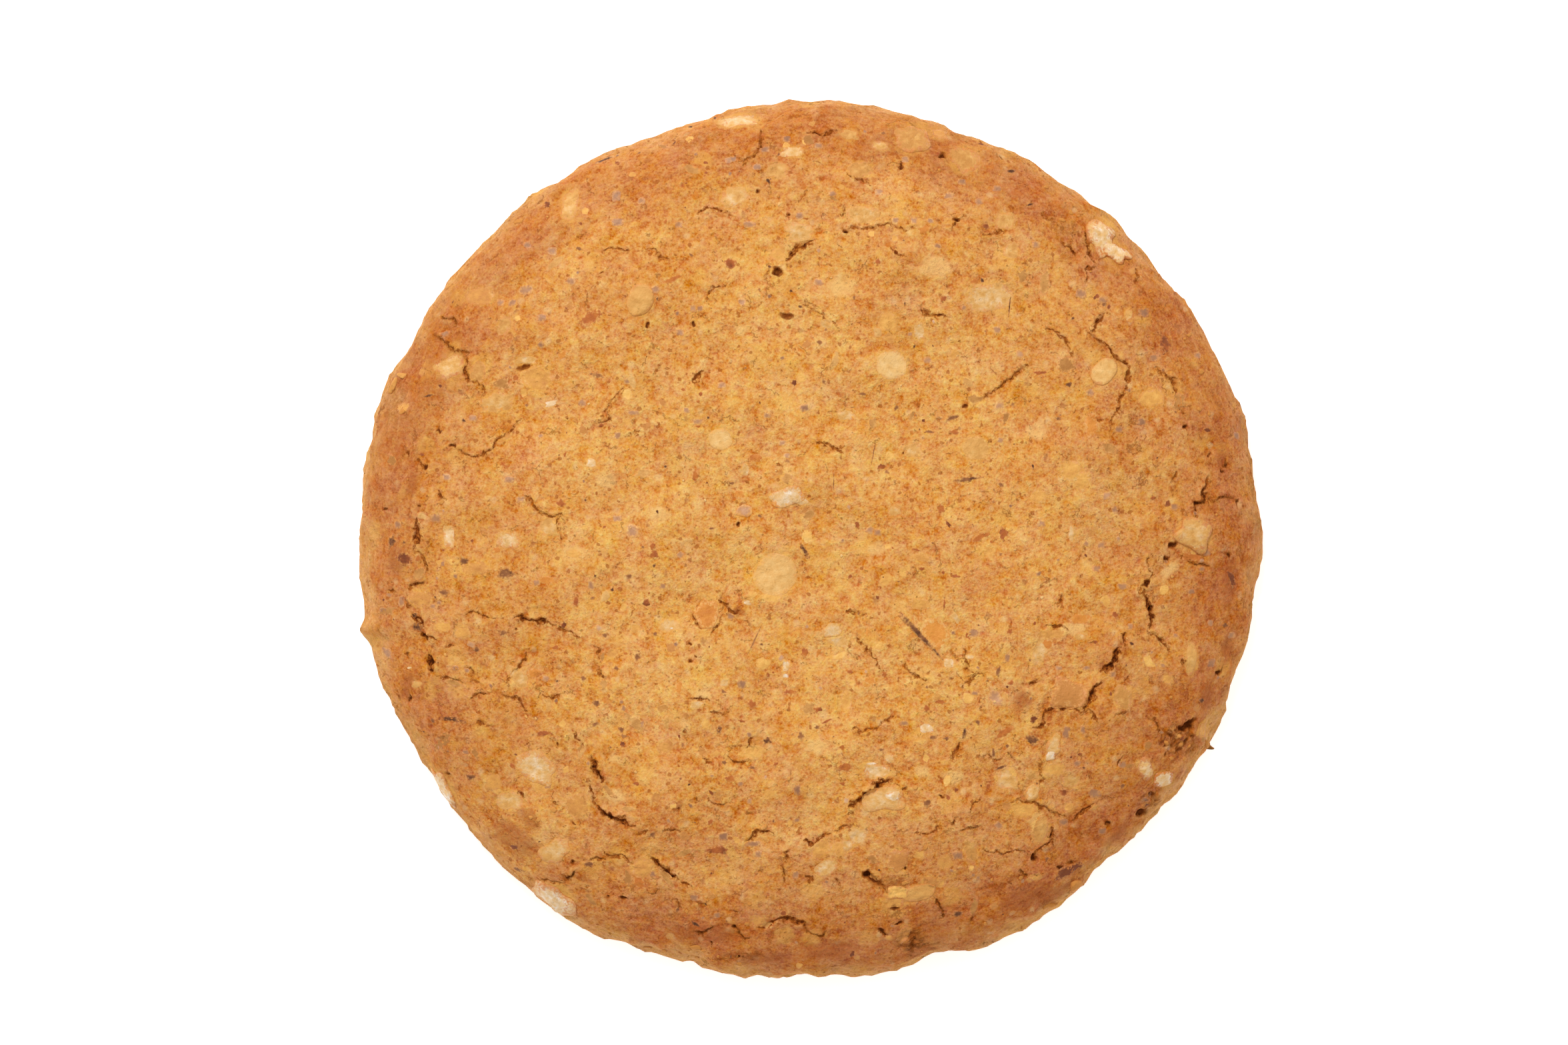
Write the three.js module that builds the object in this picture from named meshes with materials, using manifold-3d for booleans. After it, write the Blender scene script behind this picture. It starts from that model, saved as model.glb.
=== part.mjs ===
// A round wholegrain cookie with oats and chopped nuts, baked as one piece: a ball of
// dough pressed flat, with a domed and cracked top, a rounded shoulder and a flat base.
//
// Millimetres, +Z up. The origin is the middle of the base, on the surface it rests on.

import * as THREE from "three";
import { mergeVertices } from "three/addons/utils/BufferGeometryUtils.js";
import Module from "manifold-3d";

// ---------------------------------------------------------------- driving dimensions

// Distance from the origin to the widest edge, every 10 degrees counter-clockwise from +X.
const EDGE_RADII = [
  35.9, 35.75, 35.6, 35.3, 35.0, 34.8, 34.7, 34.5, 34.85, 34.8, 34.6, 34.4,
  34.7, 35.15, 35.2, 35.35, 35.7, 36.0, 35.85, 35.95, 35.9, 35.6, 35.7, 35.85,
  35.9, 35.2, 35.35, 34.85, 34.95, 35.0, 35.6, 35.0, 35.25, 35.6, 35.6, 35.75,
];

const THICKNESS = 8.3; // from the base to the crown, before the lumps
const BELT_HEIGHT = 1.7; // height of the widest line of the side
const SHOULDER_POWER = 4.4; // how late the dome turns down: 2 is an ellipse
const FOOT_TUCK = 0.9; // how far the base lies inside the widest line

const BODY_DETAIL = 16; // subdivisions of the icosahedron that the body starts from
const BASE_SHARE = 0.25; // triangles spent on the base, against the same area on top
const DOME_STEPS = 160; // points of the section over the dome, round the foot and along the base
const FOOT_STEPS = 24;
const BASE_STEPS = 40;

// Rolling lumps of the top: each octave is a few crossed waves.
const LUMPS = [
  { wavelength: 19, height: 0.2 },
  { wavelength: 9.5, height: 0.11 },
  { wavelength: 4.8, height: 0.07 },
];
const WAVES_PER_OCTAVE = 5;
const GOLDEN_ANGLE = Math.PI * (3 - Math.sqrt(5));
const PHASE_STEP = 7; // keeps the crests of the crossed waves from meeting at the origin
const LUMP_FADE = 0.9; // fraction of the radius past which the top lumps fade out

const SIDE_RIPPLES = [
  { wavelength: 6.5, height: 0.16 },
  { wavelength: 3.1, height: 0.09 },
];

// Cracks in the crust: width of the mouth, and the way each runs over the top.
const CRACK_DEPTH_RATIO = 2.6; // depth for each millimetre of width
const CRACK_DEPTH_LEAST = 0.6;
const CRACK_LIFT = 0.9; // how far each cutter reaches above the crust
const CRACK_END_SHARE = 0.12; // width left at the ends of a crack, against its middle
const CRACKS = [
  {
    width: 0.5,
    path: [
      [22, 16.6], [23.2, 15.6], [24.4, 14.6], [25.4, 13.7], [25.5, 12.3], [24.8, 11.4],
      [24.3, 9.6], [23.9, 8.4],
    ],
  },
  {
    width: 0.45,
    path: [
      [26.9, -2.4], [27.1, -3.3], [26.3, -4], [27.1, -5.4], [27, -7.2], [28, -8.2],
      [28.7, -9.1],
    ],
  },
  {
    width: 0.5,
    path: [
      [25.3, -7.6], [24.9, -8.4], [24.3, -9.6], [23.4, -10.6], [22.8, -12], [22, -13.3],
      [20.6, -13.7], [19.5, -13.4], [18.5, -14.3], [17.5, -15.2],
    ],
  },
  { width: 0.35, path: [[22, -13.4], [22.6, -14.2], [23.1, -14.8]] },
  {
    width: 0.35,
    path: [
      [13.5, 11.1], [14.6, 11.5], [15.2, 12.2], [16.2, 12.6], [16.8, 13.6], [17.6, 14],
    ],
  },
  { width: 0.55, path: [[31.8, 4.9], [31.4, 3.9], [31.5, 3], [30.8, 2.5], [30.8, 1.7]] },
  { width: 0.4, path: [[-27.2, 14.4], [-27.4, 13.4], [-27.1, 12.4], [-26.1, 12.1], [-26, 11.2]] },
  {
    width: 0.4,
    path: [
      [-28.4, 7.4], [-27.2, 6.7], [-26.2, 6.5], [-24.9, 7.7], [-23.6, 8.9], [-22.5, 9.6],
    ],
  },
  { width: 0.35, path: [[-29.5, 17.9], [-28.4, 17.4], [-28.1, 16.5]] },
  { width: 0.35, path: [[-23.3, 3.6], [-22.2, 3.1], [-21.4, 2], [-19.4, 1.7]] },
  { width: 0.4, path: [[-31.2, 1.6], [-31.2, 0.1], [-31.5, -0.9]] },
  { width: 0.5, path: [[-31.6, -5.8], [-31, -6.8], [-30.5, -7.9], [-30.1, -9.2], [-30.1, -10.6]] },
  { width: 0.4, path: [[-23.4, -6.1], [-21.8, -6.5], [-20.6, -6.7], [-19, -7.4]] },
  { width: 0.35, path: [[-22.4, -8.9], [-22.9, -10], [-23.9, -11], [-23.9, -11.7]] },
  { width: 0.5, path: [[-18.2, -16.2], [-17.6, -17.3], [-17, -18.5], [-16.4, -19.4]] },
  { width: 0.55, path: [[-17.4, -19.5], [-17.1, -20.9], [-16.3, -21.9], [-15.2, -22.3], [-14, -22.9]] },
  { width: 0.45, path: [[-12.8, -25.2], [-12, -25.9], [-11.1, -26.7], [-10.5, -27.4], [-9.3, -27.8]] },
  { width: 0.35, path: [[-17.3, -25.5], [-15.8, -25.2], [-14.6, -25.5], [-13.9, -25.9]] },
  { width: 0.45, path: [[3, -21.9], [4.1, -20.7], [5.2, -19.9], [6, -19.2], [6.9, -19.6]] },
  { width: 0.35, path: [[-0.6, -24.2], [0.6, -24], [1.7, -23.6], [3.2, -22.7]] },
  { width: 0.35, path: [[-1.7, -24.8], [-1.8, -25.6], [-2.3, -26.2], [-2, -27.5]] },
  { width: 0.45, path: [[-4.2, -31.1], [-2.8, -30.5], [-1.3, -30.3], [-0.3, -31], [0.5, -31.6]] },
  { width: 0.35, path: [[13.7, -24.8], [15.3, -25], [17.1, -24.8], [18, -25.3]] },
  { width: 0.4, path: [[10.2, -28.6], [10.5, -29.5], [10.9, -30.3]] },
  { width: 0.35, path: [[21, -22.4], [22, -21.7], [22.7, -21]] },
  { width: 0.4, path: [[-1.9, 22], [-1, 23], [0.5, 23.9]] },
  { width: 0.35, path: [[2.4, 24.8], [3.5, 24.7], [5, 24.9], [6.8, 24.6], [8.6, 24.8]] },
  { width: 0.4, path: [[22.2, 25], [22.2, 23.3], [22.7, 21.9], [22, 20.2]] },
];

// Hollows where a crumb has broken out or a bubble burst: place, length, width, turn, depth.
const HOLLOWS = [
  { x: 30.2, y: -14.9, length: 1.3, width: 1.1, turn: 0, depth: 1.2 },
  { x: 28.9, y: -16.3, length: 2.2, width: 1.3, turn: -30, depth: 0.6 },
  { x: 27.3, y: -20.4, length: 1.3, width: 0.8, turn: 20, depth: 0.7 },
  { x: 26.5, y: -21.7, length: 1.3, width: 0.9, turn: 30, depth: 0.6 },
  { x: 28.8, y: -0.7, length: 1.3, width: 0.7, turn: 35, depth: 0.9 },
  { x: -2.6, y: 21.3, length: 1.1, width: 0.9, turn: 0, depth: 0.6 },
  { x: -1.8, y: 17.7, length: 1.8, width: 1.0, turn: 10, depth: 0.4 },
  { x: -22.7, y: 13.5, length: 1.6, width: 0.7, turn: 20, depth: 0.5 },
  { x: 5.1, y: -27.2, length: 2.4, width: 1.1, turn: -35, depth: 0.7 },
  { x: 6.7, y: -29.4, length: 1.2, width: 0.6, turn: 5, depth: 0.7 },
  { x: -14.9, y: -28.6, length: 0.9, width: 0.6, turn: -30, depth: 0.8 },
  { x: 17.8, y: -25.5, length: 0.9, width: 0.8, turn: 0, depth: 0.9 },
  { x: 8.3, y: -32.3, length: 2.6, width: 1.0, turn: 100, depth: 0.6 },
  { x: -9.5, y: -9.2, length: 1.6, width: 1.0, turn: 70, depth: 0.4 },
];

// Nut chips and oat flakes that stand a little out of the crust.
const CHIP_THICKNESS_RATIO = 0.5; // thickness of a chip against its width
const CHIP_RISE = 0.28; // height of a chip above the crust round it
const LUMP_UNEVENNESS = 0.16; // how far a chip's or a hollow's corners stray from a ball
const LUMP_PHASES = { number: 12.9, corner: 4.7 }; // make each lump and each corner differ
const NORMAL_REACH = 0.4; // distance over which the slope of the crust is taken
const CHIPS = [
  { x: 8.2, y: 31.8, length: 2.6, width: 2.2, turn: 20 },
  { x: 23.3, y: 24, length: 2.5, width: 2.2, turn: 40 },
  { x: 24.4, y: 22.8, length: 2.0, width: 1.6, turn: -20 },
  { x: 14.3, y: 19.2, length: 3.2, width: 2.2, turn: 10 },
  { x: 4.2, y: 25.9, length: 2.4, width: 1.4, turn: 0 },
  { x: 12.4, y: 30.2, length: 2.3, width: 2.0, turn: 50 },
  { x: -6, y: 27.2, length: 2.3, width: 1.5, turn: 30 },
  { x: -5.7, y: 33.1, length: 3.0, width: 1.2, turn: 0 },
  { x: -13.5, y: 19, length: 2.4, width: 2.0, turn: 0 },
  { x: -19.1, y: 26.6, length: 2.6, width: 1.5, turn: 85 },
  { x: -26.3, y: 19.3, length: 2.3, width: 1.9, turn: 20 },
  { x: -28.6, y: 13.7, length: 2.2, width: 1.6, turn: 35 },
  { x: -21.7, y: 12.6, length: 2.4, width: 2.0, turn: 0 },
  { x: -24.9, y: 10.8, length: 2.3, width: 1.6, turn: 20 },
  { x: -1.8, y: 3.3, length: 2.4, width: 1.4, turn: 10 },
  { x: -7.1, y: 7.9, length: 1.8, width: 1.7, turn: 0 },
  { x: 6.5, y: 13.8, length: 2.3, width: 2.2, turn: 0 },
  { x: 13.2, y: 7.2, length: 2.0, width: 1.7, turn: 0 },
  { x: 23.4, y: 13.2, length: 2.1, width: 1.9, turn: 45 },
  { x: 31, y: 0.2, length: 2.5, width: 1.8, turn: -10 },
  { x: -2.8, y: -2.9, length: 3.2, width: 3.0, turn: 0 },
  { x: -8.2, y: -6.1, length: 2.1, width: 1.7, turn: 75 },
  { x: 9.9, y: -7.7, length: 2.1, width: 1.6, turn: -50 },
  { x: 2.2, y: -7.3, length: 1.8, width: 1.4, turn: 0 },
  { x: 20.5, y: -12.4, length: 2.5, width: 2.1, turn: 0 },
  { x: 30.4, y: -9.6, length: 2.5, width: 1.1, turn: 90 },
  { x: 19.4, y: -16.9, length: 1.9, width: 1.1, turn: 80 },
  { x: 26.8, y: -18.5, length: 1.9, width: 1.3, turn: -45 },
  { x: 28.3, y: -19.2, length: 1.3, width: 1.0, turn: 0 },
  { x: 5.9, y: -20.7, length: 2.9, width: 1.9, turn: 30 },
  { x: 5.3, y: -18.3, length: 2.4, width: 1.2, turn: 0 },
  { x: 8.3, y: -28.3, length: 3.4, width: 1.6, turn: 12 },
  { x: 7, y: -25.6, length: 1.8, width: 1.4, turn: 80 },
  { x: 1.3, y: -26.2, length: 1.9, width: 1.3, turn: 35 },
  { x: 13.1, y: -29.3, length: 1.8, width: 0.8, turn: 85 },
  { x: -21.9, y: -18.1, length: 2.5, width: 2.0, turn: -20 },
  { x: -24, y: -20.9, length: 2.1, width: 1.4, turn: 0 },
  { x: -18.5, y: -21.3, length: 2.2, width: 1.8, turn: 60 },
  { x: -29.1, y: -20, length: 2.9, width: 1.5, turn: -52 },
  { x: -20.4, y: -28.7, length: 2.9, width: 2.2, turn: -25 },
  { x: -20.3, y: -24.9, length: 2.4, width: 1.6, turn: 30 },
  { x: -13.4, y: -26.3, length: 1.9, width: 1.5, turn: 0 },
  { x: -29.2, y: -7, length: 1.3, width: 0.9, turn: 0 },
];

// Crumbs baked on to the side: the middle of each, its size and its height off the base.
const RIM_CRUMBS = [
  { x: -35.1, y: -7.35, z: 1.9, length: 1.9, width: 1.5, turn: 15 },
  { x: 31.2, y: -16.1, z: 2.4, length: 1.7, width: 1.3, turn: -30 },
  { x: 21.3, y: -27.9, z: 1.6, length: 1.7, width: 1.3, turn: 60 },
  { x: 19.1, y: -29.3, z: 1.4, length: 1.5, width: 1.1, turn: -20 },
];

// --------------------------------------------------------------------- outline and relief

/** Distance from the origin to the widest edge in a direction, by a smooth closed curve. */
function edgeRadius(azimuth) {
  const count = EDGE_RADII.length;
  const place = (((azimuth / (2 * Math.PI)) % 1) + 1) % 1 * count;
  const index = Math.floor(place);
  const t = place - index;
  const [a, b, c, d] = [-1, 0, 1, 2].map((step) => EDGE_RADII[(index + step + count) % count]);
  const linear = c - a;
  const square = 2 * a - 5 * b + 4 * c - d;
  const cubic = 3 * b - a - 3 * c + d;
  return 0.5 * (2 * b + linear * t + square * t * t + cubic * t * t * t);
}

/** Sum of crossed waves in the plane: a rolling surface with no pattern that repeats. */
function rollingWaves(x, y, octaves) {
  let height = 0;
  let turn = 0;
  for (const octave of octaves) {
    for (let wave = 0; wave < WAVES_PER_OCTAVE; wave += 1) {
      turn += GOLDEN_ANGLE;
      const along = x * Math.cos(turn) + y * Math.sin(turn);
      const angle = (2 * Math.PI * along) / octave.wavelength + turn * PHASE_STEP;
      height += (octave.height / 2) * Math.sin(angle);
    }
  }
  return height;
}

/** 1 well inside the top, falling smoothly to 0 at the widest edge. */
function topShare(fraction) {
  const past = Math.min(Math.max((fraction - LUMP_FADE) / (1 - LUMP_FADE), 0), 1);
  return 1 - past * past * (3 - 2 * past);
}

/** Height of the crust over a point of the plan. */
function crustHeight(x, y) {
  const fraction = Math.min(Math.hypot(x, y) / edgeRadius(Math.atan2(y, x)), 1);
  const dome = Math.sqrt(1 - fraction ** SHOULDER_POWER);
  const smooth = BELT_HEIGHT + (THICKNESS - BELT_HEIGHT) * dome;
  return smooth + rollingWaves(x, y, LUMPS) * topShare(fraction);
}

// ------------------------------------------------------------------------------ the body

/** Points of the section from the crown, over the shoulder and the foot, to the base's middle. */
function sectionPoints() {
  const radius = EDGE_RADII.reduce((sum, edge) => sum + edge, 0) / EDGE_RADII.length;
  const points = [];
  for (let i = 0; i <= DOME_STEPS; i += 1) {
    const angle = (i / DOME_STEPS) * (Math.PI / 2);
    const fraction = Math.sin(angle) ** (2 / SHOULDER_POWER);
    points.push({ fraction, height: BELT_HEIGHT + (THICKNESS - BELT_HEIGHT) * Math.cos(angle), tuck: 0 });
  }
  for (let i = 1; i <= FOOT_STEPS; i += 1) {
    const angle = (i / FOOT_STEPS) * (Math.PI / 2);
    const tuck = FOOT_TUCK * (1 - Math.cos(angle));
    points.push({ fraction: 1, height: BELT_HEIGHT * (1 - Math.sin(angle)), tuck });
  }
  for (let i = 1; i <= BASE_STEPS; i += 1) {
    const left = 1 - i / BASE_STEPS;
    points.push({ fraction: left, height: 0, tuck: FOOT_TUCK * left });
  }
  let spent = 0;
  points.forEach((point, i) => {
    if (i > 0) {
      const last = points[i - 1];
      const across = (point.fraction - last.fraction) * radius;
      const weight = point.height === 0 && last.height === 0 ? BASE_SHARE : 1;
      const length = Math.hypot(across, point.height - last.height);
      spent += weight * length * ((point.fraction + last.fraction) / 2);
    }
    point.spent = spent;
  });
  points.forEach((point) => { point.spent /= spent; });
  return points;
}

/** The section at a share of its area, 0 at the crown and 1 at the middle of the base. */
function sectionAt(points, share) {
  let i = 1;
  while (i < points.length - 1 && points[i].spent < share) i += 1;
  const [a, b] = [points[i - 1], points[i]];
  const t = THREE.MathUtils.clamp((share - a.spent) / (b.spent - a.spent), 0, 1);
  return {
    fraction: THREE.MathUtils.lerp(a.fraction, b.fraction, t),
    height: THREE.MathUtils.lerp(a.height, b.height, t),
    tuck: THREE.MathUtils.lerp(a.tuck, b.tuck, t),
  };
}

/** The pressed ball of dough, before it cracks. */
function doughGeometry() {
  const ball = new THREE.IcosahedronGeometry(1, BODY_DETAIL);
  ball.deleteAttribute("normal");
  ball.deleteAttribute("uv");
  const geometry = mergeVertices(ball, 1e-4);
  const section = sectionPoints();
  const position = geometry.getAttribute("position");
  for (let i = 0; i < position.count; i += 1) {
    const azimuth = Math.atan2(position.getY(i), position.getX(i));
    const { fraction, height, tuck } = sectionAt(section, (1 - position.getZ(i)) / 2);
    const edge = edgeRadius(azimuth);
    const sideShare = (1 - topShare(fraction)) * Math.min(height / BELT_HEIGHT, 1);
    const [outX, outY] = [edge * Math.cos(azimuth), edge * Math.sin(azimuth)];
    const ripple = rollingWaves(outX + height, outY - height, SIDE_RIPPLES) * sideShare;
    const radius = fraction * edge - tuck + ripple;
    const x = radius * Math.cos(azimuth);
    const y = radius * Math.sin(azimuth);
    const lump = height > BELT_HEIGHT ? rollingWaves(x, y, LUMPS) * topShare(fraction) : 0;
    position.setXYZ(i, x, y, height + lump);
  }
  return geometry;
}

// ---------------------------------------------------------------- cracks, hollows and chips

/** A wedge that follows a crack over the crust, closed to a point at both ends. */
function crackGeometry({ width, path }) {
  const curve = new THREE.CatmullRomCurve3(path.map(([x, y]) => new THREE.Vector3(x, y, 0)));
  const steps = path.length + 1;
  const depth = Math.max(CRACK_DEPTH_LEAST, CRACK_DEPTH_RATIO * width);
  const vertices = [];
  for (let i = 0; i <= steps; i += 1) {
    const t = i / steps;
    const middle = curve.getPoint(t);
    const along = curve.getTangent(t);
    const taper = Math.max(CRACK_END_SHARE, Math.sqrt(Math.sin(Math.PI * t)));
    const half = (width / 2) * taper * ((depth + CRACK_LIFT) / depth);
    const crust = crustHeight(middle.x, middle.y);
    const across = new THREE.Vector3(-along.y, along.x, 0).multiplyScalar(half);
    vertices.push(middle.x + across.x, middle.y + across.y, crust + CRACK_LIFT);
    vertices.push(middle.x - across.x, middle.y - across.y, crust + CRACK_LIFT);
    vertices.push(middle.x, middle.y, crust - depth * taper);
  }
  const faces = [0, 1, 2];
  for (let i = 0; i < steps; i += 1) {
    const [left, right, keel] = [3 * i, 3 * i + 1, 3 * i + 2];
    const [nextLeft, nextRight, nextKeel] = [left + 3, right + 3, keel + 3];
    faces.push(left, nextLeft, nextRight, left, nextRight, right);
    faces.push(right, nextRight, nextKeel, right, nextKeel, keel);
    faces.push(keel, nextKeel, nextLeft, keel, nextLeft, left);
  }
  const end = 3 * steps;
  faces.push(end, end + 2, end + 1);
  const geometry = new THREE.BufferGeometry();
  geometry.setAttribute("position", new THREE.Float32BufferAttribute(vertices, 3));
  geometry.setIndex(faces.reverse());
  return geometry;
}

/** An uneven faceted lump, a unit across, whose shape follows its number. */
function lumpGeometry(number) {
  const lump = new THREE.IcosahedronGeometry(0.5, 0);
  lump.deleteAttribute("normal");
  lump.deleteAttribute("uv");
  const geometry = mergeVertices(lump, 1e-4);
  const position = geometry.getAttribute("position");
  for (let i = 0; i < position.count; i += 1) {
    const phase = number * LUMP_PHASES.number + i * LUMP_PHASES.corner;
    const swell = 1 + LUMP_UNEVENNESS * Math.sin(phase);
    position.setXYZ(i, position.getX(i) * swell, position.getY(i) * swell, position.getZ(i));
  }
  return geometry;
}

/** Sizes a lump, turns it about the up direction, leans that on to a normal and places it. */
function placed(geometry, size, turn, normal, place) {
  const up = new THREE.Vector3(0, 0, 1);
  const turned = new THREE.Quaternion().setFromAxisAngle(up, THREE.MathUtils.degToRad(turn));
  const leaned = new THREE.Quaternion().setFromUnitVectors(up, normal);
  return geometry.applyMatrix4(new THREE.Matrix4().compose(place, leaned.multiply(turned), size));
}

/** Outward direction of the crust over a point of the plan. */
function crustNormal(x, y) {
  const reach = NORMAL_REACH;
  const rise = (crustHeight(x + reach, y) - crustHeight(x - reach, y)) / (2 * reach);
  const climb = (crustHeight(x, y + reach) - crustHeight(x, y - reach)) / (2 * reach);
  return new THREE.Vector3(-rise, -climb, 1).normalize();
}

/** A lump set in the crust, its middle a given distance below the surface. */
function setInCrust({ x, y, length, width, turn }, thickness, sink, number) {
  const normal = crustNormal(x, y);
  const middle = new THREE.Vector3(x, y, crustHeight(x, y)).addScaledVector(normal, -sink);
  return placed(lumpGeometry(number), new THREE.Vector3(length, width, thickness), turn, normal, middle);
}

function chipGeometry(chip, number) {
  const thickness = chip.width * CHIP_THICKNESS_RATIO;
  return setInCrust(chip, thickness, thickness / 2 - CHIP_RISE, number);
}

function hollowGeometry(hollow, number) {
  return setInCrust(hollow, 2 * hollow.depth, 0, number);
}

function rimCrumbGeometry({ x, y, z, length, width, turn }, number) {
  const size = new THREE.Vector3(length, width, width);
  const outward = new THREE.Vector3(x, y, 0).normalize();
  return placed(lumpGeometry(number), size, turn, outward, new THREE.Vector3(x, y, z));
}

// --------------------------------------------------------------------- joining and cutting

const wasm = await Module();
wasm.setup();

/** A closed geometry as a solid that can be joined and cut. */
function solidOf(geometry) {
  const vertProperties = new Float32Array(geometry.getAttribute("position").array);
  const triVerts = new Uint32Array(geometry.index.array);
  return new wasm.Manifold(new wasm.Mesh({ numProp: 3, vertProperties, triVerts }));
}

/** The largest connected piece of a solid, without loose scraps. */
function withoutScraps(solid) {
  return solid.decompose().reduce((best, piece) => (piece.volume() > best.volume() ? piece : best));
}

/** The solid's surface as a geometry. */
function geometryOf(solid) {
  const mesh = solid.getMesh();
  const geometry = new THREE.BufferGeometry();
  geometry.setAttribute("position", new THREE.Float32BufferAttribute(mesh.vertProperties, 3));
  geometry.setIndex(new THREE.Uint32BufferAttribute(mesh.triVerts, 1));
  geometry.computeVertexNormals();
  return geometry;
}

function cookieGeometry() {
  let solid = solidOf(doughGeometry());
  CHIPS.forEach((chip, number) => { solid = solid.add(solidOf(chipGeometry(chip, number))); });
  RIM_CRUMBS.forEach((crumb, number) => { solid = solid.add(solidOf(rimCrumbGeometry(crumb, number))); });
  CRACKS.forEach((crack) => { solid = solid.subtract(solidOf(crackGeometry(crack))); });
  HOLLOWS.forEach((hollow, number) => { solid = solid.subtract(solidOf(hollowGeometry(hollow, number))); });
  return geometryOf(withoutScraps(solid));
}

// ------------------------------------------------------------------------------ the model

const crust = new THREE.MeshStandardMaterial({ color: 0xd09045, roughness: 0.8, metalness: 0 });
const cookie = new THREE.Mesh(cookieGeometry(), crust);
cookie.name = "cookie";

const part = new THREE.Group();
part.add(cookie);

export default part;
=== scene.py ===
"""A round wholegrain cookie with oats, chopped nuts and sugar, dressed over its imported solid.

The cookie is one baked piece: a ball of dough pressed flat, so the body starts as a sphere that
is pressed to the same form as the solid, then roughened, cracked and pitted. What is baked into
its crust is laid on that surface, one piece for each kind. Sizes are in millimetres until a mesh
is written, which is in metres.
"""

from __future__ import annotations

import logging
import math
from dataclasses import dataclass, field
from enum import Enum
from typing import NamedTuple

import bpy
import numpy as np
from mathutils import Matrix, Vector, noise
from mathutils.bvhtree import BVHTree

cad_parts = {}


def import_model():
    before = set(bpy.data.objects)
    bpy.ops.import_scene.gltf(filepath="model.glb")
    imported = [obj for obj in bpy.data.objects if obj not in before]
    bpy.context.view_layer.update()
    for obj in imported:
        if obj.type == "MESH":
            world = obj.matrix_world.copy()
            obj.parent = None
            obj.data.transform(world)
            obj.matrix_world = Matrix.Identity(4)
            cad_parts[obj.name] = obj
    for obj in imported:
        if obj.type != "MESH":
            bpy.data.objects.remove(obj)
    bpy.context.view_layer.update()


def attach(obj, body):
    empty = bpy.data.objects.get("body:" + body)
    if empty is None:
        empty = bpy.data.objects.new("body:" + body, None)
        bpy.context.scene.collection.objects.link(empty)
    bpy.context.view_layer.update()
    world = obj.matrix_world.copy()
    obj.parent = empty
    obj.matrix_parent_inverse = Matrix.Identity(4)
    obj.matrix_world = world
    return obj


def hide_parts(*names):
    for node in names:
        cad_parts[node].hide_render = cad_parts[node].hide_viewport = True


LOG = logging.getLogger("cookie")
MM = 0.001  # metres in a millimetre
Array = np.ndarray
Tree = bpy.types.NodeTree
Socket = bpy.types.NodeSocket
Stops = tuple[tuple[float, str], ...]  # places and sRGB colours of a ramp


# ------------------------------------------------------------------------ what lies where


class Crack(NamedTuple):
    """A crack in the crust: the width of its mouth and the way it runs, in mm."""

    width: float
    path: tuple[tuple[float, float], ...]


class Bit(NamedTuple):
    """Something set in the crust: its place, its size along and across, its turn in degrees,
    its tone from dark (0) to light (1) and how far it stands above the crust round it."""

    x: float
    y: float
    length: float
    width: float
    turn: float = 0.0
    tone: float = 0.5
    rise: float = 0.0


def cracks(*rows: tuple[float, ...]) -> tuple[Crack, ...]:
    """Name what rows hold, each a crack's width, then x and y of every place that it runs through."""
    return tuple(Crack(width, tuple(zip(places[::2], places[1::2]))) for width, *places in rows)


def bits(*rows: tuple[float, ...]) -> tuple[Bit, ...]:
    """Name what rows hold, each in the order of a Bit's fields."""
    return tuple(Bit(*row) for row in rows)


# Distance from the origin to the widest edge, every 10 degrees counter-clockwise from +X.
EDGE_RADII = (
    35.9, 35.75, 35.6, 35.3, 35.0, 34.8, 34.7, 34.5, 34.85, 34.8, 34.6, 34.4,
    34.7, 35.15, 35.2, 35.35, 35.7, 36.0, 35.85, 35.95, 35.9, 35.6, 35.7, 35.85,
    35.9, 35.2, 35.35, 34.85, 34.95, 35.0, 35.6, 35.0, 35.25, 35.6, 35.6, 35.75,
)  # fmt: skip

# Steps, nibs and notches of the edge: azimuth in degrees, how far out, half-width in degrees.
EDGE_NIBS = (
    (191.7, 0.75, 1.0), (332.6, 0.35, 1.0), (254.8, -0.35, 1.0), (252.6, 0.2, 0.9),
    (263.4, -0.25, 1.2), (286.5, -0.45, 1.6), (271.2, 0.2, 0.8), (302.8, -0.3, 1.2),
    (308.0, 0.3, 1.0), (93.0, 0.15, 1.0), (72.0, 0.25, 1.6), (46.5, 0.15, 1.4),
    (16.0, 0.2, 1.6), (3.0, 0.2, 1.6), (163.8, 0.2, 1.5), (312.6, -0.2, 1.2),
)  # fmt: skip

# Every 30 degrees counter-clockwise from azimuth 15: how much browner the rim is painted than even baking
# would make it, paler below 0, partly as the oven browned it and partly as painted shade and painted light
# that offset the lamp's light on the rim; and how pale the side below it stayed.
RIM_SHADE_AND_BROWNING = (0.5, 0.45, 0.65, 0.42, 0.55, 0.75, 0.3, -0.6, 0.2, 0.6, 0.25, 0.1)
SIDE_PALENESS = (0.4, 0.8, 0.8, 0.8, 0.9, 1.6, 1.2, 1.7, 1.1, 1.0, 1.1, 1.0)

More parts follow.
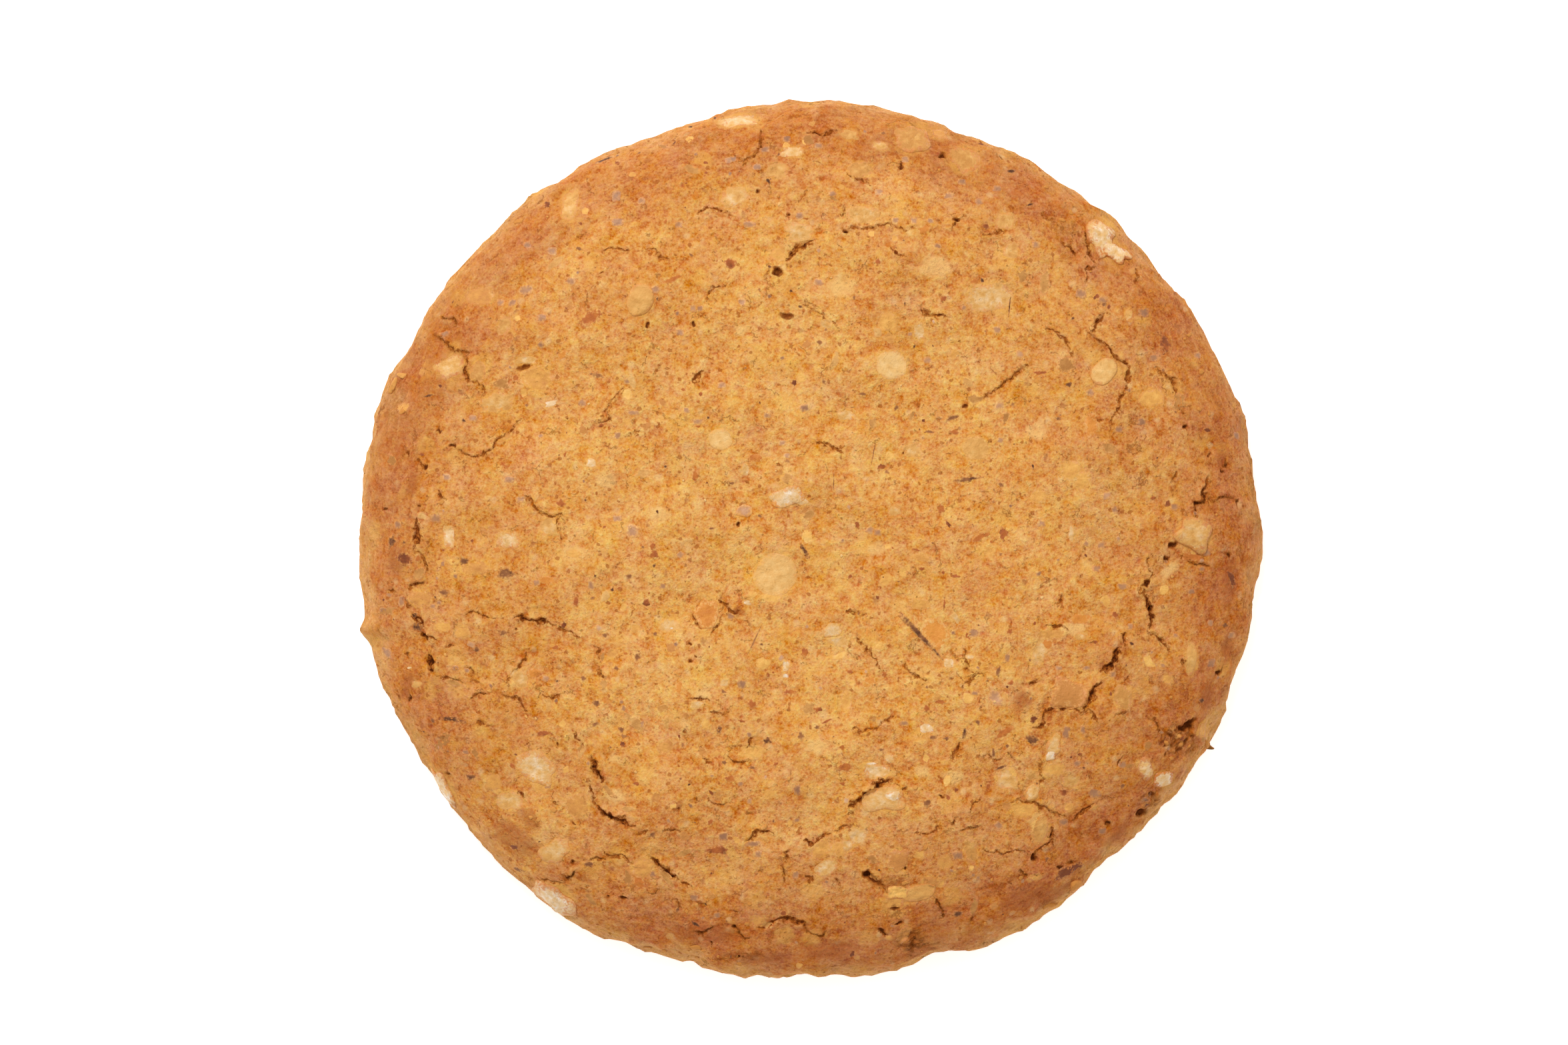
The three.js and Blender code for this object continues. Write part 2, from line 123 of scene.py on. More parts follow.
CRACKS = cracks(
    # back, from left to right
    (0.25, -29.5, 17.9, -29, 17.5, -28.4, 17.4, -28.1, 16.8),
    (0.22, -29.9, 16.1, -29.2, 15.8, -28.4, 15.1, -27.8, 14.9, -27.1, 14.7),
    (0.15, -16.6, 22.8, -16.1, 23.2, -15.2, 23.1, -14.3, 23),
    (0.15, -13.2, 23.1, -12.4, 22.9, -11.8, 22.4, -11.2, 22.2),
    (0.2, -9, 25.8, -7.6, 26.2, -6.8, 25.9, -6, 25.6),
    (0.15, -6.6, 20.3, -7, 20.1, -8, 19.8, -8.2, 18.7),
    (0.2, -4, 32.5, -3.8, 31.8, -4.1, 31, -4.9, 30.3, -5.3, 29.7),
    (0.36, 0.5, 23.9, 0, 23.4, -0.8, 23.2, -1.4, 22.6, -1.8, 22.1),
    (0.26, -0.3, 32.4, 0.8, 32.1, 1.5, 32.4, 2.2, 32.6),
    (0.15, 2.9, 29.2, 3.8, 28.6, 4.9, 28),
    (0.15, 2.6, 25.6, 2.8, 26.5),
    (0.13, 2.5, 24.7, 3, 24.3, 3.5, 24.8, 5, 24.8, 6.2, 25, 6.8, 24.7, 7.6, 24.4, 8.5, 24.8),
    (0.25, 6.4, 23.2, 6.6, 22.9, 7.1, 22.5, 7.8, 22.3),
    (0.15, 11.2, 24.7, 11.7, 25.2, 12.4, 25.6),
    (0.18, 13.6, 24.2, 14.5, 24.2, 15.2, 24.4, 15.9, 24.7),
    (0.15, 18.5, 26, 19.1, 25.4, 19.6, 25.2),
    (0.2, 20, 23.7, 20.6, 23.2, 21.1, 22.7, 21.3, 22.3),
    (0.24, 22.2, 25, 22.2, 24.4, 22.1, 23.2, 22.5, 22.2, 22.7, 21.9),
    (0.18, 22.7, 21.9, 22, 21.3, 22.1, 20.8, 22, 20.3),
    (0.15, 26.1, 21.5, 26.2, 20.8, 26, 20.3),
    (0.3, 23.7, 18.1, 23.4, 17.5, 22.9, 17.1, 22.6, 16.5),
    (0.24, 22, 16.6, 22.6, 16.2, 23.2, 15.6, 23.8, 15, 24.4, 14.6, 25.1, 14.1, 25.4, 13.7, 25.4, 12.9,
     25.5, 12.3, 25.2, 11.8, 24.8, 11.4, 24.6, 10.9, 24.6, 10.2, 24.3, 9.6, 24, 9, 23.9, 8.4),
    (0.18, 18.6, 16.9, 19.3, 16.5, 20.3, 16.1, 20.5, 15.4, 21, 14.6),
    # middle, left
    (0.28, -27.2, 14.4, -27.4, 13.6, -27.3, 13, -27.1, 12.4),
    (0.15, -27.1, 12.4, -26.3, 12.3, -26, 12.1, -25.9, 11.6, -26, 11.2),
    (0.16, -28.4, 7.4, -27.9, 7, -27.2, 6.7, -26.4, 6.5, -25.9, 6.7, -25.4, 7.1, -24.9, 7.7, -24.3, 8.2,
     -23.9, 8.6, -23.3, 9.1, -22.7, 9.5),
    (0.2, -32.5, 7.2, -31.9, 6.4),
    (0.2, -31.2, 6.4, -30.6, 5.7),
    (0.2, -29.7, 3.9, -29.4, 3.4, -29, 3.2),
    (0.36, -31.2, 1.6, -31.3, 0.8, -31.2, 0.1, -31.4, -0.5, -31.5, -0.9),
    (0.16, -31.5, -0.9, -30.9, -1.4, -30.4, -2.2, -30.6, -2.7),
    (0.17, -23.3, 3.6, -22.9, 3.1, -22.2, 3.1, -21.9, 2.5, -21.4, 2, -20.6, 1.9, -19.4, 1.7),
    (0.14, -20, 1.7, -20, 1, -19.8, 0),
    (0.34, -32, -3.9, -31.6, -3.8, -31.2, -3.5, -30.7, -3.3),
    (0.2, -33.7, -4.2, -33.2, -4.3, -33, -4.3),
    (0.16, -32.5, -4.6, -32.3, -4.8, -32, -5, -31.9, -5.4, -31.6, -5.6),
    (0.45, -31.6, -6.1, -31.3, -6.4, -30.9, -6.8, -30.8, -7.1),
    (0.58, -30.8, -7.5, -30.5, -7.9, -30.4, -8.1),
    (0.22, -30.4, -7.8, -29.9, -7.9, -29.6, -8.1),
    (0.6, -30.2, -9.2, -30.1, -9.8, -30.1, -10.6),
    (0.2, -28.9, -8.5, -28.5, -8.6, -28.1, -8.8),
    (0.17, -29.7, -11, -28.9, -11.1, -28.2, -11.3, -27.6, -11.5),
    (0.16, -27.4, -10.2, -26.9, -10.6, -26.8, -11, -26.6, -11.4, -26.3, -11.7, -26, -11.8),
    (0.2, -27, -12.6, -26.5, -12.5, -26, -12.3, -25.6, -12.2),
    (0.32, -26.4, -14.5, -26.2, -14.7, -25.9, -14.9),
    (0.36, -23.5, -6.3, -22.9, -6.1, -22.7, -6.4, -21.8, -6.5, -20.8, -6.6, -20.6, -6.8),
    (0.2, -20.6, -6.8, -19.9, -7.2, -19.2, -7.4, -18.8, -7.6, -18.2, -7.8),
    (0.14, -27.4, -6, -26.6, -5.9, -26, -6.3, -25.4, -6.3, -24.9, -6.3),
    (0.22, -22.4, -8.9, -22.6, -9.5, -22.9, -10, -23.4, -10.4, -23.9, -11, -23.9, -11.6),
    (0.17, -24.5, -12.3, -24.1, -12.5, -23.1, -12.9, -22.8, -13.3, -22.5, -13.7, -22.2, -13.9),
    (0.2, -21.3, -12.5, -20.8, -12.6, -20.4, -12.6, -19.9, -12.5, -19.4, -12.4),
    (0.2, -18.7, -15.3, -18.6, -15.9, -18.2, -16.1),
    (0.18, -17.3, -8.6, -16.8, -8.9, -16.6, -9.5, -16.6, -10),
    (0.25, -16.9, -10.3, -16.6, -10.9, -16.1, -11.4),
    (0.12, -0.6, 18.9, 0.6, 18, 1.6, 17.2, 2.4, 16.6),
    (0.18, 8.9, 18.6, 9.1, 18.1, 10, 17.9, 11.2, 17.7),
    (0.11, -17.2, 9.2, -16.1, 10.2, -15.4, 11.4, -14.2, 12.3),
    # middle
    (0.25, -9.3, 12.4, -9, 12.9, -8.4, 13.3),
    (0.15, -14.6, 8.1, -14.1, 8.3, -13.5, 8.6),
    (0.15, -17.1, 9.2, -16.6, 9.1, -16, 9.6, -16, 10.4),
    (0.2, 0.2, 7.7, 1.5, 7.3, 2.5, 6.9, 2.7, 7.4),
    (0.17, 13.5, 11.1, 14.6, 11.5, 15.2, 12.2, 15.8, 12.6, 16.2, 12.6, 16.4, 13.1, 16.8, 13.6, 17.5, 13.9),
    (0.3, -7.3, -4.9, -6.8, -5.3, -6.4, -5.7, -5.8, -5.8, -5.4, -5.8),
    (0.18, -9.1, -5.4, -9.2, -6.1, -9, -6.8, -8.7, -7.3),
    (0.18, -6.9, -6, -6.9, -6.8, -7.5, -7.1, -7.8, -7.6),
    (0.16, -9.6, -12.7, -8.9, -12.8, -8.3, -12.8, -8, -13),
    (0.13, -8, -13.9, -7, -14, -6.5, -14),
    (0.14, -10.1, -15.3, -9.7, -15.4),
    (0.14, -8.7, -16.7, -8.4, -17.2, -8.1, -17.8, -7.8, -18),
    (0.2, -6.5, -17.2, -6, -17.7, -5.6, -17.9, -4.6, -17.8),
    (0.24, -5.1, -16.7, -4.9, -16.4, -4.6, -15.9),
    (0.13, 2.9, -5.7, 3.3, -5.9, 3.9, -6, 4.4, -6),
    (0.15, 3.8, -7.5, 3.8, -8.2, 4.2, -8.6, 4.7, -9.2, 5.3, -9.7, 5.4, -10.2, 6, -10.5),
    (0.15, 7.6, -10, 8, -10.5, 8.6, -11, 9.1, -11.3, 9.4, -11.1),
    (0.14, 12.2, -8.7, 12.4, -9.4, 12.4, -10, 12.5, -10.5, 13, -10.5, 13.6, -10.6),
    (0.16, 12.1, -11.9, 12.4, -11.5, 12.9, -11.1, 13.4, -10.7, 14.1, -10.9),
    (0.17, 3.3, -15.2, 3.6, -15.1, 4.2, -15.6, 4.6, -15.3, 5.2, -15.1, 5.5, -15, 6.1, -14.6, 6.4, -14.3,
     6.9, -14),
    (0.25, 11.9, -16.1, 11.9, -16.7, 11.6, -17.2, 11.5, -17.6),
    (0.14, 13.6, -17.3, 14.2, -17.2, 14.7, -17.6, 15.4, -17.2),
    (0.22, 15.7, -17, 16, -17.2, 16.3, -17.6),
    # middle, right
    (0.14, 22.3, 9.8, 23.4, 9.4),
    (0.2, 27.6, 13.5, 28.3, 12.9, 29, 12.6, 29.2, 11.8, 29.3, 10.7, 29.9, 10),
    (0.42, 31.8, 4.9, 31.6, 4.2, 31.4, 3.9, 31.5, 3, 30.9, 2.7, 30.6, 2.2, 30.8, 1.7),
    (0.14, 31.5, 3, 32.3, 3.1, 33.2, 3.2, 34.1, 3.1),
    (0.12, 28.8, 4.4, 29.2, 5.3),
    (0.2, 29.5, -1.6, 30.3, -1.8, 30.7, -2, 31.4, -2.1, 31.8, -2.2),
    (0.17, 27.3, -1.3, 26.9, -1.6, 26.9, -2.4, 27.2, -3, 27, -3.4),
    (0.52, 27.1, -3.4, 26.7, -3.7, 26.3, -3.9),
    (0.36, 26.3, -4, 26.5, -4.6, 26.8, -5, 27.1, -5.4, 27.1, -6, 27.1, -6.7, 27, -7.4),
    (0.25, 27, -7.5, 27.6, -7.8, 28, -8.2, 28.4, -8.6, 28.7, -9.1),
    (0.34, 25.3, -7.6, 24.9, -7.9, 24.9, -8.3, 25, -8.6),
    (0.5, 24.8, -8.7, 24.4, -9.2, 24.3, -9.8, 24, -10.2, 23.6, -10.4, 23.1, -10.6),
    (0.42, 23.3, -11.4, 22.9, -11.7, 22.7, -12, 22.6, -12.6, 22.1, -12.9, 22, -13.3, 21.6, -13.6),
    (0.3, 21.6, -13.6, 21, -13.7, 20.2, -13.6, 19.5, -13.4, 19.1, -13.8, 18.6, -14, 18.5, -14.7,
     18.3, -15.1, 17.6, -15.2),
    (0.18, 22.1, -13.6, 22.6, -14.2, 23, -14.7),
    (0.22, 19.9, -11.3, 19.5, -11.9, 19.2, -12.4, 19, -12.9),
    (0.22, 17.8, -24.9, 18.5, -24.5, 19.2, -24.1, 19.3, -23.2),
    (0.15, 18.6, -7.1, 19.3, -7, 20, -6.8, 20.3, -7.1, 20.6, -7.5),
    (0.2, 20.1, -4.5, 19.9, -5, 19.9, -5.3),
    (0.24, 17.4, -11.5, 17.9, -11.4, 18.3, -11.3),
    (0.14, 25.1, -11.5, 25.4, -11.2, 25.6, -10.9),
    (0.22, 29.8, -9.6, 29.8, -10.2),
    (0.17, 26.9, -14.3, 27.5, -14.5, 27.8, -15.2, 28.2, -15.7),
    (0.12, 24.3, -14, 25, -13.8, 25.4, -13.6),
    # front, left
    (0.28, -18.1, -16.4, -18, -17),
    (0.5, -17.5, -17.4, -17.2, -18, -17, -18.5, -16.5, -19, -16.5, -19.7),
    (0.24, -17.4, -19.5, -17.3, -20.2, -17.2, -20.8, -16.9, -21.2),
    (0.54, -16.9, -21.2, -16.5, -21.5, -16.3, -21.9, -15.6, -22, -15.2, -22.3, -14.7, -22.5, -14.1, -22.8),
    (0.16, -14.1, -23.5, -13.4, -23.5, -12.8, -23.4),
    (0.16, -11.6, -23.2, -10.9, -23, -10.4, -23.3),
    (0.18, -19.2, -22.4, -18.9, -22.7, -18.5, -22.8),
    (0.2, -29.1, -18.7, -28.7, -19),
    (0.3, -20.3, -20.8, -20, -21.3),
    (0.34, -23.1, -20.1, -22.8, -20.5),
    (0.17, -21.7, -26.9, -21.3, -27.2, -20.9, -27.4, -20.5, -27.5, -19.9, -27.5, -19.5, -27.4),
    (0.3, -19.6, -26.7, -19.5, -27.1, -19, -26.9, -18.7, -26.7),
    (0.36, -19.1, -25.6, -19, -26),
    (0.17, -18, -25.7, -17.3, -25.5, -16.8, -25.6, -16.3, -25.6, -16.1, -25.3),
    (0.18, -16.4, -24.9, -15.8, -25.2, -15.2, -25.2, -14.6, -25.5, -14, -25.9),
    (0.46, -12.7, -25.3, -12.1, -25.9, -11.6, -26.2, -11.2, -26.6, -10.8, -26.9, -10.5, -27.3),
    (0.16, -10.3, -27.5, -9.9, -27.6, -9.3, -27.8),
    (0.13, -12.9, -28.5, -12.2, -28.3, -11.9, -27.9),
    (0.16, -11.5, -28.8, -10.6, -28.9, -10.1, -29.3),
    (0.16, -8.9, -29.1, -8.4, -29.3),
    (0.15, -18.1, -27.7, -17.5, -27.7),
    (0.28, -9.3, -31.3, -8.7, -31.4, -8.2, -31.2, -7.7, -30.9),
    (0.14, -8.2, -20.5, -7.8, -20.9, -7.2, -21.1, -6.6, -21.2, -6.1, -21.1),
    (0.18, -5.2, -21.6, -4.7, -21.9),
    (0.2, -9.1, -20.4, -8.9, -21),
    (0.26, -5.1, -24.1, -4.6, -23.9, -4.4, -23.5, -4, -23.3, -3.6, -23.5, -3.2, -23.4, -2.9, -23.6),
    # front, middle and right
    (0.26, -0.6, -24.1, -0.1, -24.1, 0.1, -24.3, 0.6, -24, 1.1, -23.8, 1.7, -23.6),
    (0.16, 2, -23.2, 2.4, -23.1, 2.7, -22.9, 3.2, -22.7),
    (0.28, -1.6, -24.9, -1.9, -25, -1.8, -25.3, -1.7, -25.6),
    (0.18, -2.3, -25.8, -2.2, -26.1, -2.1, -26.4, -2, -27, -2.1, -27.4),
    (0.26, -0.4, -26.9, 0, -27, 0.2, -27.4),
    (0.52, 3.2, -21.4, 3.7, -20.9, 4.1, -20.7, 4.6, -20.3, 5.1, -20, 5.4, -19.6, 5.8, -19.3, 6.2, -19.2,
     6.6, -19.4),
    (0.16, 3, -21.9, 3.6, -21.7),
    (0.14, 6.8, -19.6, 7.2, -20, 7.9, -19.8),
    (0.3, -4.2, -31.1, -3.8, -30.9, -3.2, -30.7, -2.6, -30.5, -1.9, -30.3, -1.2, -30.3, -0.7, -30.6,
     -0.3, -31, 0, -31.4),
    (0.17, 0, -31.4, 0.3, -31.6, 0.9, -31.5, 1.4, -31.3),
    (0.17, -6.3, -29.6, -5.8, -29.8, -5.3, -29.9),
    (0.17, -6, -30.9, -5.6, -31.4, -5.2, -31.8, -4.6, -31.7),
    (0.18, 2.1, -27.1, 2.3, -27.5, 2.5, -27.8),
    (0.14, 9.1, -27.1, 9.5, -27.6, 9.9, -27.9),
    (0.26, 10.2, -28.7, 10.4, -29.3, 10.7, -29.8, 10.9, -30.2),
    (0.2, 12.6, -30.7, 12.9, -30.5, 13.2, -30.1),
    (0.15, 8.3, -23.5, 9.4, -23.5, 10, -23.4, 10.2, -23, 10.4, -22.8),
    (0.18, 11, -22.5, 11.4, -22.7, 11.7, -22.2, 12.1, -22.2),
    (0.14, 12.7, -21.7, 13, -21.3, 13.3, -20.9, 13.5, -20.7),
    (0.14, 12, -23.2, 12.8, -23.1, 13.5, -23.1),
    (0.19, 13.8, -24.8, 14.4, -24.9, 14.9, -24.8, 15.4, -25.1, 15.9, -24.9, 16.5, -24.9, 17.2, -24.8,
     17.5, -25.2),
    (0.16, 16, -21, 16.6, -20.9, 17.2, -21, 17.9, -21, 18.4, -21.4, 18.9, -21.5, 19.6, -22, 20.3, -22),
    (0.28, 21, -22.4, 21.3, -22.2, 21.7, -22, 22, -21.7, 22.3, -21.5, 22.6, -21.1),
    (0.32, 19.3, -23, 19.3, -23.5, 19.4, -23.9),
    (0.14, 19.2, -24.2, 18.6, -24.5, 18.2, -24.8, 18, -25.1),
    (0.14, 18.3, -18.1, 18.5, -18.5, 18.4, -18.8, 18.5, -19.2, 18.3, -19.6, 18.3, -20),
    (0.24, 16.7, -26.4, 17.2, -26.7),
    (0.2, 17.6, -26.7, 18.2, -26.7),
    (0.22, 20.3, -25.7, 20.9, -25.8, 21.2, -25.8),
)  # fmt: skip

# Hollows where a crumb broke out, a bubble burst or the crust is burnt through. The slit at (7.5, 7) is cut
# where a chip's shadow falls, so its dark colour is painted shadow.
HOLLOWS = bits(
    (30.2, -14.9, 1.1, 0.8, 20), (30.5, -14.6, 0.7, 0.45, 60), (29.75, -15.2, 0.8, 0.5, -30),
    (28.7, -15.6, 0.7, 0.45, -30, 0.1), (29.2, -16.1, 0.6, 0.35, 40, 0.1), (29.3, -16.9, 0.8, 0.4, 20, 0),
    (30, -16.1, 0.5, 0.35, 70, 0), (28.4, -16.4, 0.45, 0.3, 0, 0), (30.6, -15.8, 0.4, 0.3, 0, 0),
    (28.3, -17.2, 0.5, 0.3, 60, 0), (27.3, -20.4, 0.7, 0.55), (26.4, -21.8, 1.1, 0.6, 35),
    (28.9, -0.5, 0.9, 0.5, 30), (28.4, -1.6, 0.6, 0.4, 40), (33.3, -1.3, 0.75, 0.35, -60),
    (27.2, -5.6, 0.55, 0.5), (32.6, -10.7, 0.5, 0.4), (-2.6, 21.3, 0.85, 0.75, 0, 0.4),
    (-4.1, 27.6, 0.45, 0.4), (-1.7, 25.8, 0.35, 0.35), (-1.8, 17.7, 1.4, 0.6, 5, 0.1),
    (2.9, 24.5, 0.5, 0.4), (10.6, 30.5, 0.6, 0.5), (7.3, 29.7, 0.7, 0.3, 80), (11.6, 25.4, 0.6, 0.4),
    (10.4, 17.8, 0.5, 0.25), (-29.6, 8.6, 0.4, 0.3), (-30.6, 5.7, 0.5, 0.4), (-33.8, 2.3, 0.45, 0.2),
    (-31.1, 2.6, 0.4, 0.3), (-22.7, 13.6, 1.2, 0.42, 20, 0.2), (-12.9, 17, 0.6, 0.25, 90),
    # The slit at (7.5, 7) lies where a chip's shadow falls: its dark colour is painted shadow over a real
    # groove.
    (-5.6, 1.1, 0.35, 0.35), (12.3, 10.5, 0.5, 0.35), (7.5, 7, 0.6, 0.3, 80), (33.1, 5.8, 0.35, 0.3),
    (32.8, 5.4, 0.3, 0.3), (34.1, 3, 0.3, 0.3), (31.8, 6.7, 0.5, 0.25, 80), (29.8, 8.9, 0.35, 0.3),
    (5, -27.1, 2, 0.7, -35), (4.5, -26.7, 0.9, 0.5, 60), (6.7, -29.45, 0.9, 0.35, 8),
    (-6, -30.9, 0.45, 0.35), (-14.85, -28.65, 0.6, 0.38, -30), (17.8, -25.4, 0.65, 0.6),
    (23.7, -22.7, 0.6, 0.4, -40), (8.2, -32.2, 1.7, 0.42, 95, 0), (-9.5, -9.8, 0.6, 0.25, 20),
    (-9.5, -8.4, 0.4, 0.25), (-9, -9.3, 0.3, 0.25), (-7.8, -32.3, 0.5, 0.25, 90),
    (-5.7, -33.4, 0.5, 0.3, 70), (5.8, -31.4, 0.9, 0.4, -40), (7.1, -30.6, 0.6, 0.25),
    (10.5, -20.5, 0.45, 0.25, -20), (24.6, -17.8, 0.5, 0.25, 80), (-20.1, -16.4, 0.4, 0.18, 80),
    (-23.4, -7.2, 0.3, 0.25), (-32.2, -9.1, 0.4, 0.2, 30), (-31.9, -12.8, 0.45, 0.25, 80),
    (-28.4, 7.4, 0.5, 0.4), (-16.6, 21.2, 0.5, 0.22, 10), (-9.2, 17.1, 0.4, 0.36), (29.9, 9, 0.4, 0.3),
    (-29.2, -15.9, 0.5, 0.4), (-16.1, -28.6, 0.5, 0.25), (-10.4, -21.5, 0.4, 0.2, 80),
    (19.9, -26.2, 0.45, 0.3), (17.2, -26.7, 0.35, 0.3), (7.5, -26.2, 0.35, 0.3),
)  # fmt: skip

# Broken, grainy places where the crust has crumbled.
CRUMBLED = bits(
    (29.4, -16.1, 3.6, 2.6, -30, 0.45), (8, -32, 2.6, 2), (-5.8, -33.4, 5, 0.9, 8, 0.2),
    (-9, 31.8, 5, 1.6, 10, 0), (-33, 11, 4, 1.6, 75, 0), (6.6, -27.6, 2.6, 1.6), (27.2, -20.8, 2, 1.4, 40),
    (20.4, 24.8, 2.6, 1.6, 0, 0.2), (17.2, -20, 1.6, 1.2, 0, 0.2),
)  # fmt: skip

# Darker toasted places of the crust, and paler ones where a nut lies just under it.
TOASTED = bits(
    (-23.6, -23.8, 7, 3.4, -40), (-33, -1.6, 4, 2.2, 85), (17, -28.6, 7, 2.6, 25),
    (20.6, -26.6, 2.4, 0.9, 20), (-8, -31.4, 9, 2.4, -8), (33.4, -3.6, 6, 1.8, 85), (17, -12.8, 2.6, 2),
    (-28.4, -14.4, 2.6, 0.6, -5), (-24.2, -2.8, 1.3, 1.2), (9, -33, 5, 1.8, 10),
    (31.6, -12.6, 3.4, 1.8, 75), (-32, -11.6, 3.4, 1.6, 70), (28.3, 15.5, 1, 1.8), (-10.4, -21.2, 1, 1.4),
    (-26, -10, 1.3, 0.7), (-3.8, -33.4, 7, 1.4, 3), (24.6, -23.4, 3.6, 1.4, 45), (32.8, 6.4, 3.4, 1.2, 80),
    (1.6, -32.8, 7, 2.2, 4), (-31.6, 4.6, 4, 1.6, 80), (-5.6, -5.8, 1.8, 1), (19.5, -28.4, 4.6, 1.6, 35),
    (33.3, -8.8, 4.6, 1.5, 76), (-22.3, -22.3, 3.2, 2, -45),
)  # fmt: skip
PALE = bits(
    (5.3, -0.8, 2.2, 1.6), (-12, 1.9, 2.4, 2.2), (-5.5, 16.6, 2, 1.4), (-9.8, 3.8, 1.2, 0.9),
    (-18.8, -1.2, 2.6, 1.6), (-15.4, -20.5, 2.6, 1.6), (24.9, -12.6, 1.8, 1.6), (8.9, -18.5, 1.8, 1.4),
    (-15.6, -17.5, 1.4, 1.1), (-8.4, -12.4, 1.6, 1.4), (21, -7.2, 3.6, 1.6, 10), (9.4, -7.2, 1.8, 1.6),
    (-23, -11.2, 1.4, 2.4, -45), (18.2, -22.6, 2, 2.6), (12.8, -24.8, 1.4, 2), (-25.4, -19.6, 2, 1.8),
    (0.6, -16.6, 2.6, 1.8), (-10, -14.6, 1.6, 1.2), (2.6, 20, 3.4, 2.4), (10, 21.6, 4, 2.6),
    (-16, 4.6, 2.6, 2), (18, 8.6, 2.6, 2), (28.6, -2.6, 2.6, 1.4, 35), (11.4, -19, 2.4, 1.6),
)  # fmt: skip
